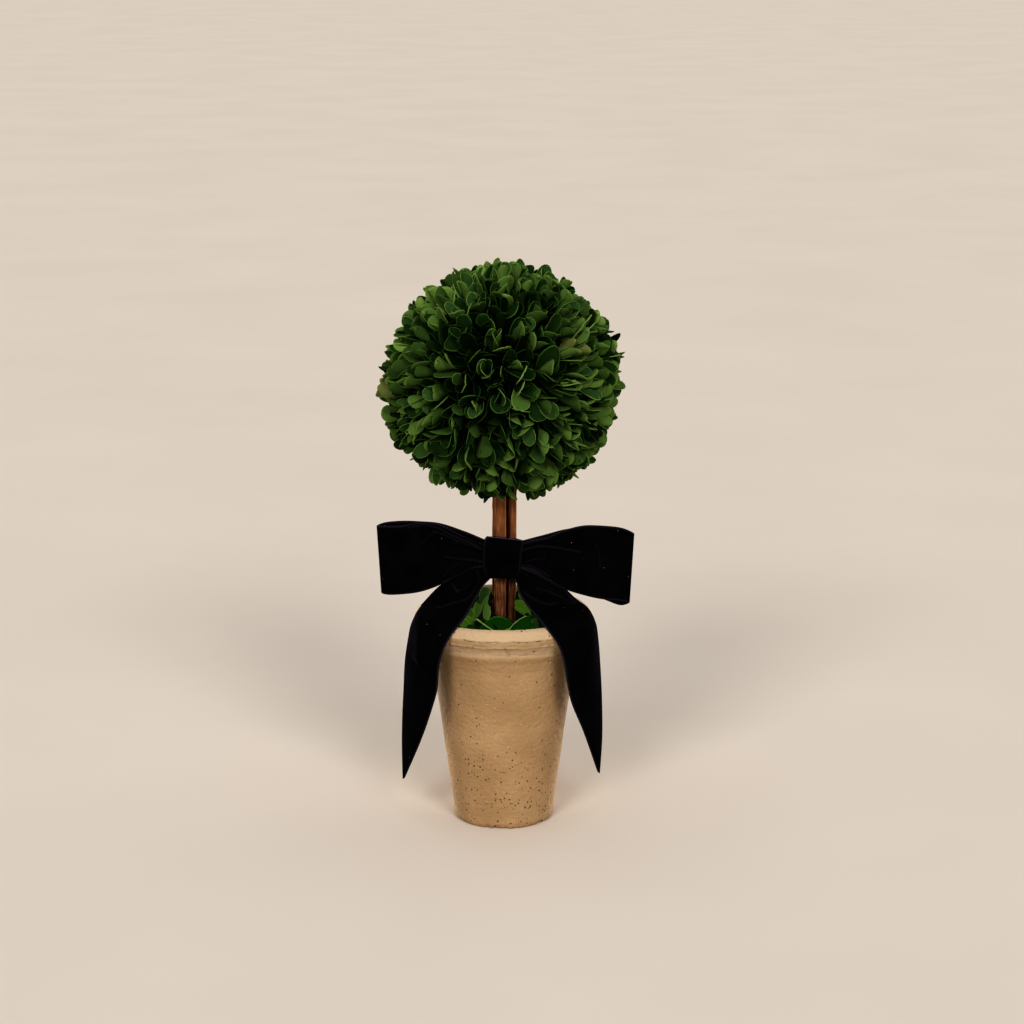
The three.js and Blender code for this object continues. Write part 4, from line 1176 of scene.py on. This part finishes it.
# The bow.
bow = {
    "thickness": 1.25, "across": 70, "rimSteps": 3, "selvageAndSheen": 0.8,
    # loops: x, y, top and bottom, from the front of the knot round the fold to its back
    "leftLoop": [
        (-12.2, -12.6, 201.2, 187.8), (-22.0, -15.6, 205.8, 186.6), (-33.0, -19.4, 212.4, 181.6),
        (-45.5, -22.4, 219.2, 175.8), (-58.0, -24.0, 220.4, 172.0), (-71.0, -23.6, 218.2, 170.2),
        (-82.0, -20.0, 217.2, 168.8), (-87.4, -13.2, 215.8, 168.2), (-82.4, -7.0, 216.4, 168.8),
        (-70.5, -5.0, 217.0, 170.4), (-57.5, -5.0, 216.6, 172.4), (-44.5, -6.0, 215.6, 176.4),
        (-28.0, -8.2, 210.6, 183.6), (-12.2, -10.4, 204.4, 189.0)],
    "rightLoop": [
        (11.6, -12.6, 202.8, 187.4), (20.5, -15.2, 206.2, 185.2), (30.5, -18.6, 209.0, 180.2),
        (42.0, -21.4, 214.4, 173.6), (55.0, -23.4, 218.2, 169.8), (68.5, -23.6, 218.2, 166.8),
        (82.4, -20.0, 215.6, 164.6), (90.4, -13.2, 210.2, 161.0), (84.0, -6.6, 209.8, 157.4),
        (72.0, -5.0, 211.0, 161.0), (58.0, -5.2, 212.0, 166.6), (44.0, -6.4, 211.4, 172.4),
        (28.0, -8.4, 207.6, 180.4), (11.6, -10.4, 203.6, 188.6)],
    "foldLean": 2.6, "leanPower": 4, "loopCrown": 1.2, "loopRows": 300, "frontFade": 3,
    # pleats fan out from the knot and fade into the ribbon
    "loopPleats": {"start": 13, "fade": 17, "count": 2.6, "shift": 0.15, "depth": 0.9},
    "tailPleats": {"fade": 0.16, "count": 2.3, "depth": 0.6},
    # the dip beside a fold, in widths of the fold, and the painted sheen along its top, in mm
    "dipAway": 2.1, "dipWidth": 1.2, "rubbedWidth": 0.40,
    # tails: the outer edge, the inner edge, and how far the middle stands out
    "leftTail": [
        ((-12.0, -12.4, 187.4), (-8.8, -12.6, 179.0), 0.4),
        ((-22.4, -14.6, 185.6), (-13.4, -18.0, 175.6), 1.6),
        ((-33.0, -17.2, 180.6), (-15.9, -25.0, 174.6), 2.6),
        ((-43.0, -18.0, 174.8), (-18.7, -32.4, 171.8), 3.2),
        ((-52.7, -16.0, 164.4), (-22.6, -40.6, 164.8), 4.2),
        ((-59.6, -13.4, 155.2), (-27.6, -48.4, 158.6), 6.2),
        ((-64.4, -12.2, 145.2), (-35.6, -54.0, 149.8), 7.2),
        ((-67.0, -11.4, 132.0), (-40.9, -54.2, 139.4), 5.0),
        ((-69.0, -11.0, 117.0), (-44.3, -54.2, 127.6), 2.6),
        ((-70.2, -11.0, 96.0), (-45.8, -54.0, 110.6), 1.4),
        ((-71.2, -10.8, 78.0), (-49.6, -47.0, 94.6), 1.0), ((-71.8, -10.4, 56.0), (-57.4, -34.6, 68.4), 0.6),
        ((-71.6, -10.0, 29.0), (-70.8, -11.4, 30.2), 0.0)],
    "rightTail": [
        ((11.2, -12.6, 186.4), (7.8, -12.8, 178.6), 0.4), ((20.0, -15.0, 183.8), (9.8, -18.0, 176.0), 1.6),
        ((30.4, -17.4, 179.0), (10.4, -25.4, 175.6), 2.6), ((41.6, -17.4, 172.2), (12.4, -33.0, 172.2), 3.4),
        ((50.6, -15.0, 163.4), (17.4, -40.6, 165.6), 4.4), ((59.0, -13.2, 156.2), (23.4, -47.8, 160.2), 6.4),
        ((64.2, -12.8, 145.8), (31.0, -53.9, 152.6), 7.6), ((66.2, -12.4, 133.4), (38.0, -54.8, 142.2), 6.4),
        ((67.6, -12.0, 116.6), (41.7, -54.4, 131.4), 3.6), ((68.6, -11.8, 100.6), (43.9, -53.6, 117.6), 2.2),
        ((69.3, -11.4, 84.4), (47.0, -48.6, 100.6), 1.4), ((69.6, -11.0, 60.0), (56.4, -34.0, 72.6), 0.8),
        ((68.2, -10.4, 33.4), (67.4, -11.8, 34.6), 0.0)],
    "tailRows": 300,
}

# Folds as seen from the front: a line of (x, z), how far it stands out, its width, the dip beside it,
# and how strong the painted sheen is along it.
folds = {
    "leftLoop": [
        ([(-66, 217.4), (-54.9, 219.4), (-44.5, 216.6), (-36.6, 212.0), (-25.9, 206.2), (-15.8, 201.0)],
         1.1, 1.1, 0.9, 0.6),
        ([(-48, 214.6), (-40, 211.8), (-32, 207.6), (-22, 202.6), (-15.0, 199.6)], 0.9, 0.8, 0.9, 0.7),
        ([(-55.7, 206.3), (-49.6, 213.0), (-44.6, 214.9)], 0.8, 1.0, 0.7, 0.25),
        ([(-38, 205.9), (-28, 204.4), (-15, 201.6)], 0.8, 1.8, 0.8, 0.1),
        ([(-41.2, 196.6), (-28.1, 193.7), (-15.0, 190.4)], 1.0, 1.0, 1.0, 0.45),
        ([(-41.8, 182.0), (-36.8, 187.5), (-31.2, 190.8)], 0.7, 1.2, 0.8, 0.3),
        ([(-66, 198), (-58, 192), (-50, 184)], 0.6, 5.0, 0.4, 0.0),
    ],
    "rightLoop": [
        ([(13.8, 202.0), (22.7, 205.9), (32.3, 208.7)], 0.9, 1.2, 0.8, 0.35),
        ([(13.0, 198.6), (18.8, 200.6), (27.4, 202.7), (39.3, 202.5), (53.3, 200.2)], 1.1, 1.1, 1.1, 0.6),
        ([(62.6, 206.8), (65.4, 201.6), (66.6, 195.0), (66.4, 188.0)], 0.7, 1.2, 0.6, 0.25),
        ([(14.4, 190.2), (19.9, 192.3), (28.9, 194.3)], 0.9, 0.9, 0.9, 0.3),
        ([(13.2, 187.8), (19.4, 188.4), (25.4, 186.1), (32.0, 181.2)], 0.9, 0.9, 0.8, 0.7),
        ([(74, 172.0), (62, 176), (50, 184)], 0.5, 5.0, 0.4, 0.0),
    ],
    "leftTail": [
        ([(-34.1, 175.2), (-31.6, 172.6), (-30.6, 173.2)], 0.7, 1.0, 0.6, 0.6),
        ([(-30.6, 173.2), (-26.6, 174.6), (-22.5, 177.0)], 0.6, 1.0, 0.6, 0.2),
        ([(-43.7, 161.6), (-32.9, 166.4), (-24.9, 169.0), (-20.0, 173.6), (-17.0, 178.4), (-18.5, 184.2)],
         0.9, 1.1, 0.9, 0.4),
        ([(-57.8, 152.0), (-58.6, 140.9), (-59.4, 126)], 0.6, 2.4, 0.4, 0.15),
        ([(-24.0, 184.0), (-33.0, 177.2), (-41.0, 169.0), (-46.0, 158.0)], 0.7, 1.6, 0.6, 0.1),
    ],
    "rightTail": [
        ([(12.6, 185.9), (20.6, 183.0), (31.2, 177.8), (41.2, 171.4), (49.0, 162.0)], 0.8, 1.0, 0.7, 0.8),
        ([(13.8, 173.1), (18.1, 170.4), (25.5, 166.9), (32.2, 164.7), (37.9, 165.2)], 0.9, 1.1, 0.8, 0.45),
        ([(22.7, 174.1), (29.8, 172.7), (37.3, 168.9), (46.8, 162.6)], 0.9, 1.0, 0.8, 0.35),
        ([(15.0, 180.0), (24.0, 177.6), (33.0, 172.8)], 0.7, 0.9, 0.6, 0.15),
    ],
}


def distanceToLine(x, z, line):
    best = np.full(x.shape, 1e9)
    side = np.zeros(x.shape)
    line = smoothPath(line, len(line) * 6)
    for (ax, az), (bx, bz) in zip(line[:-1], line[1:]):
        dx, dz = bx - ax, bz - az
        part = (((x - ax) * dx + (z - az) * dz) / (dx * dx + dz * dz)).clip(0, 1)
        gapX, gapZ = x - ax - part * dx, z - az - part * dz
        gap = np.hypot(gapX, gapZ)
        closer = gap < best
        best = np.where(closer, gap, best)
        side = np.where(closer, np.sign(gapX * dz - gapZ * dx), side)
    return best, side


def gridNormals(grid):
    return units(np.cross(np.gradient(grid, axis=0), np.gradient(grid, axis=1)))


# Lifts the folds out of a ribbon's front, and gives the painted sheen along their tops.
def foldGrid(grid, name, front):
    normal = gridNormals(grid)
    # a row near the start lies in front and tells which side faces out
    outward = normal if normal[grid.shape[0] // 5, grid.shape[1] // 2, 1] < 0 else -normal
    push, rubbed = np.zeros(grid.shape[:2]), np.zeros(grid.shape[:2])
    for line, rise, width, dip, shine in folds[name]:
        gap, side = distanceToLine(grid[:, :, 0], grid[:, :, 2], line)
        beside = bump(gap - width * bow["dipAway"], width * bow["dipWidth"]) * (side > 0)
        push += rise * bump(gap, width) - dip * beside
        # painted sheen along the top of each fold
        rubbed = np.maximum(rubbed, bump(gap, bow["rubbedWidth"]) * shine)
    return grid + outward * (push * front)[:, :, None], rubbed * front


# The closed body of a ribbon round its middle surface, with rounded selvages and ends.
def ribbonPiece(name, shape, node):
    grid, ridge = shape
    rows, columns = grid.shape[:2]
    normal = gridNormals(grid)
    half = bow["thickness"] / 2
    edges = units(grid[:, [0, -1]] - grid[:, [1, -2]])
    turns = np.linspace(0, math.pi, bow["rimSteps"] + 2)[1:-1]
    right = np.stack([grid[:, -1] + half * (normal[:, -1] * math.cos(t) + edges[:, 1] * math.sin(t))
                      for t in turns], axis=1)
    left = np.stack([grid[:, 0] + half * (-normal[:, 0] * math.cos(t) + edges[:, 0] * math.sin(t))
                     for t in turns], axis=1)
    rings = np.concatenate([grid + normal * half, right, (grid - normal * half)[:, ::-1], left], axis=1)
    piece = newPiece(name, rings, tubeFaces(rows, rings.shape[1]))
    piece.data.polygons[-1].use_smooth = piece.data.polygons[-2].use_smooth = False
    fixNormals(piece)
    width = np.linalg.norm(grid[:, 0] - grid[:, -1], axis=1)[:, None]
    share = np.linspace(0, 1, columns)[None, :]
    fromEdge = np.minimum(share, 1 - share) * width
    # the selvages are paler, partly the woven selvage and partly painted sheen, and the fold tops take
    # painted sheen
    edge = np.maximum(np.clip(1 - fromEdge / bow["selvageAndSheen"], 0, 1), ridge)
    rim = np.ones((rows, len(turns)))
    setValues(piece, "selvageAndSheen", np.concatenate([edge, rim, edge[:, ::-1], rim], axis=1))
    standFor(piece, "velvet", [node], velvet)


def fixNormals(piece):
    mesh = piece.data
    volume = 0.0
    for polygon in mesh.polygons:
        corners = [mesh.vertices[index].co for index in polygon.vertices]
        for second in range(1, len(corners) - 1):
            volume += corners[0].dot(corners[second].cross(corners[second + 1]))
    if volume < 0:
        mesh.flip_normals()


# Rows of points from one edge of the ribbon to the other.
def spanGrid(first, second, across):
    return first[:, None] * (1 - across)[None, :, None] + second[:, None] * across[None, :, None]


def loopGrid(name):
    stations, rows, pleats = bow[name], bow["loopRows"], bow["loopPleats"]
    widest = max(abs(station[0]) for station in stations)
    lean = [bow["foldLean"] * (abs(s[0]) / widest) ** bow["leanPower"] * math.copysign(1, s[0])
            for s in stations]
    top = smoothPath([(s[0], s[1], s[2]) for s in stations], rows)
    bottom = smoothPath([(s[0] - d, s[1], s[3]) for s, d in zip(stations, lean)], rows)
    across = np.linspace(0, 1, bow["across"])
    grid = spanGrid(top, bottom, across)
    # 1 in front, -1 behind, 0 at the fold
    facing = np.cos(np.linspace(0, 2 * math.pi, rows) / 2)[:, None]
    grid[:, :, 1] -= bow["loopCrown"] * np.sin(math.pi * across)[None, :] * facing
    strength = bump(np.abs(grid[:, :, 0]) - pleats["start"], pleats["fade"])
    shift = pleats["shift"] * np.sign(stations[0][0])
    wave = np.cos(2 * math.pi * (pleats["count"] * across[None, :] + shift))
    grid[:, :, 1] -= pleats["depth"] * strength * wave * facing
    front = np.clip(facing * bow["frontFade"], 0, 1) * np.ones_like(across)[None, :]
    return foldGrid(grid, name, front)


def tailGrid(name):
    stations, rows, pleats = bow[name], bow["tailRows"], bow["tailPleats"]
    outer = smoothPath([s[0] for s in stations], rows)
    inner = smoothPath([s[1] for s in stations], rows)
    crown = smoothPath([(number, s[2], 0) for number, s in enumerate(stations)], rows)[:, 1].clip(0)
    out = units((outer + inner) * (1, 1, 0))
    across = np.linspace(0, 1, bow["across"])
    grid = spanGrid(outer, inner, across)
    lift = crown[:, None] * 4 * (across * (1 - across))[None, :]
    grid = grid + out[:, None] * lift[:, :, None]
    strength = bump(np.linspace(0, 1, rows)[:, None], pleats["fade"])
    wave = np.cos(2 * math.pi * pleats["count"] * across[None, :])
    grid = grid + out[:, None] * (pleats["depth"] * strength * wave)[:, :, None]
    return foldGrid(grid, name, np.ones(grid.shape[:2]))


# Black cotton velvet ribbon: a short upright pile that swallows light face on and turns violet grey
# at a glance, with brushed patches and lint caught on it. A paler violet grey is painted along the woven
# selvage, partly its own colour and partly painted sheen, and as painted sheen on the fold tops and the
# knot's sides.
def makeVelvet():
    material, tree, shader = newMaterial(
        "blackCottonVelvet", Roughness=0.95, Specular_IOR_Level=0.0, Sheen_Weight=0.32,
        Sheen_Roughness=0.2, Sheen_Tint=srgb("#8D86A6"))
    place = placeOf(tree)
    brushed = noiseOf(tree, place, 70.0, 3.0)["Fac"]  # 14 mm patches
    pile = noiseOf(tree, place, 1500.0, 2.0)["Fac"]  # the pile, drawn coarse
    tone = addNode(tree, "ShaderNodeMix", {"Factor": 0.4, 2: brushed, 3: pile}).outputs[0]
    shade = rampOf(tree, tone, (0.38, "#030303"), (0.62, "#09090A"))
    # paler violet grey: partly the woven selvage, and painted sheen on the fold tops and the knot's sides
    edge = mathOf(tree, "MULTIPLY", attributeOf(tree, "selvageAndSheen"), 0.8)
    shade = mixOf(tree, edge, shade, "#24202A")
    shade = mixOf(tree, specksOf(tree, place, 130.0, 0.5, 0.045), shade, "#6B6674")  # lint 8 mm apart
    feed(tree, shader, shade, bumpOf(tree, pile, 0.5, 0.3))
    return material


velvet = makeVelvet()
ribbonPiece("bowLoopLeft", loopGrid("leftLoop"), "bow_loop_left")
ribbonPiece("bowLoopRight", loopGrid("rightLoop"), "bow_loop_right")
ribbonPiece("bowTailLeft", tailGrid("leftTail"), "bow_tail_left")
ribbonPiece("bowTailRight", tailGrid("rightTail"), "bow_tail_right")

# The knot.
knot = {
    "levels": [  # height, left, right, front, tilt
        (178.6, -11.2, 9.3, -15.2, 0.02), (180.0, -12.4, 10.2, -16.0, 0.02),
        (182.5, -13.2, 11.0, -16.4, 0.03), (188, -14.2, 12.0, -16.8, 0.05),
        (196, -14.4, 12.8, -16.9, 0.07), (201.5, -14.0, 13.4, -16.6, 0.09),
        (205.0, -12.8, 13.8, -15.9, 0.1), (206.5, -11.4, 13.4, -14.6, 0.1)],
    "back": -8.5, "roundness": 5, "columns": 112, "rows": 70, "middle": 190,
    "rim": {"at": 0.93, "width": 0.05, "rise": 0.45},
    "creases": [(0.35, -4.5, 0.12, 1.1), (0.3, 6.5, 0, 1.4)],  # depth, x, slope, width
    # rubbed is painted sheen down the knot's two sides
    "waver": {"rise": 0.25, "wave": 0.9}, "rubbed": {"at": 0.95, "width": 0.045, "share": 0.9},
}


def makeKnot():
    rim, waver, rubbed = knot["rim"], knot["waver"], knot["rubbed"]
    turn = turnsOf(knot["columns"])
    power = 2 / knot["roundness"]
    bluntX = np.sign(np.cos(turn)) * np.abs(np.cos(turn)) ** power
    bluntY = np.sign(np.sin(turn)) * np.abs(np.sin(turn)) ** power
    share = np.abs(bluntX)
    grid = []
    for height, left, right, front, tilt in smoothPath(knot["levels"], knot["rows"]):
        half, depth = (right - left) / 2, (knot["back"] - front) / 2
        x = (left + right) / 2 + half * bluntX
        crease = sum(deep * bump(x - at + slope * (height - knot["middle"]), width)
                     for deep, at, slope, width in knot["creases"])
        lift = crease - rim["rise"] * bump(share - rim["at"], rim["width"])
        y = knot["back"] - depth + depth * bluntY + lift * (bluntY < 0)
        z = height - tilt * x + waver["rise"] * np.sin(x * waver["wave"])
        grid.append(np.stack([x, y, z], axis=1))
    piece = newPiece("bowKnot", grid, tubeFaces(knot["rows"], knot["columns"]))
    fixNormals(piece)
    # painted sheen down the knot's two sides, where the velvet turns away
    edge = bump(share - rubbed["at"], rubbed["width"]) * rubbed["share"]
    setValues(piece, "selvageAndSheen", np.tile(edge, knot["rows"]))
    standFor(piece, "velvet", ["bow_knot"], velvet)


# The band round the sticks, gathered into long pleats and pinched at both ends.
band = {"bottom": 184.5, "top": 202, "away": 0.6, "thickness": 1.3, "columns": 120, "rows": 40,
        "pleat": 0.32, "pleats": 4, "pinch": 0.5, "pinchPower": 8}


def bundleOutline(away):
    sticks = [(np.array((x + lean[0] / 2, y)), radius * (1 + taper) / 2)
              for _, _, x, y, radius, lean, taper, _ in trunk["sticks"]]
    points = []
    for turn in turnsOf(band["columns"]):
        facing = np.array((math.cos(turn), math.sin(turn)))
        centre, radius = max(sticks, key=lambda stick: stick[0] @ facing + stick[1])
        points.append(centre + facing * (radius + away))
    return np.array(points)


def makeBand():
    inner, outer = bundleOutline(band["away"]), bundleOutline(band["away"] + band["thickness"])
    facing = units(outer - inner)
    rings = []
    share = np.linspace(0, 1, band["rows"])
    for part in share:
        swell = band["pleat"] * math.cos(2 * math.pi * band["pleats"] * part)
        swell -= band["pinch"] * abs(2 * part - 1) ** band["pinchPower"]
        rings.append((outer + facing * swell, part))
    rings += [(inner, part) for part in share[::-1]]
    grid = []
    for ring, part in rings:
        grid.append(np.column_stack([ring, np.full(len(ring), between((band["bottom"], band["top"]), part))]))
    rows, columns = len(grid), band["columns"]
    faces = gridFaces(rows, columns, closed=True)
    last = (rows - 1) * columns
    for column in range(columns):
        after = (column + 1) % columns
        faces.append((last + column, last + after, after, column))
    piece = newPiece("bowBand", grid, faces)
    fixNormals(piece)
    standFor(piece, "velvet", ["bow_band"], velvet)


makeKnot()
makeBand()
print("bow ready")
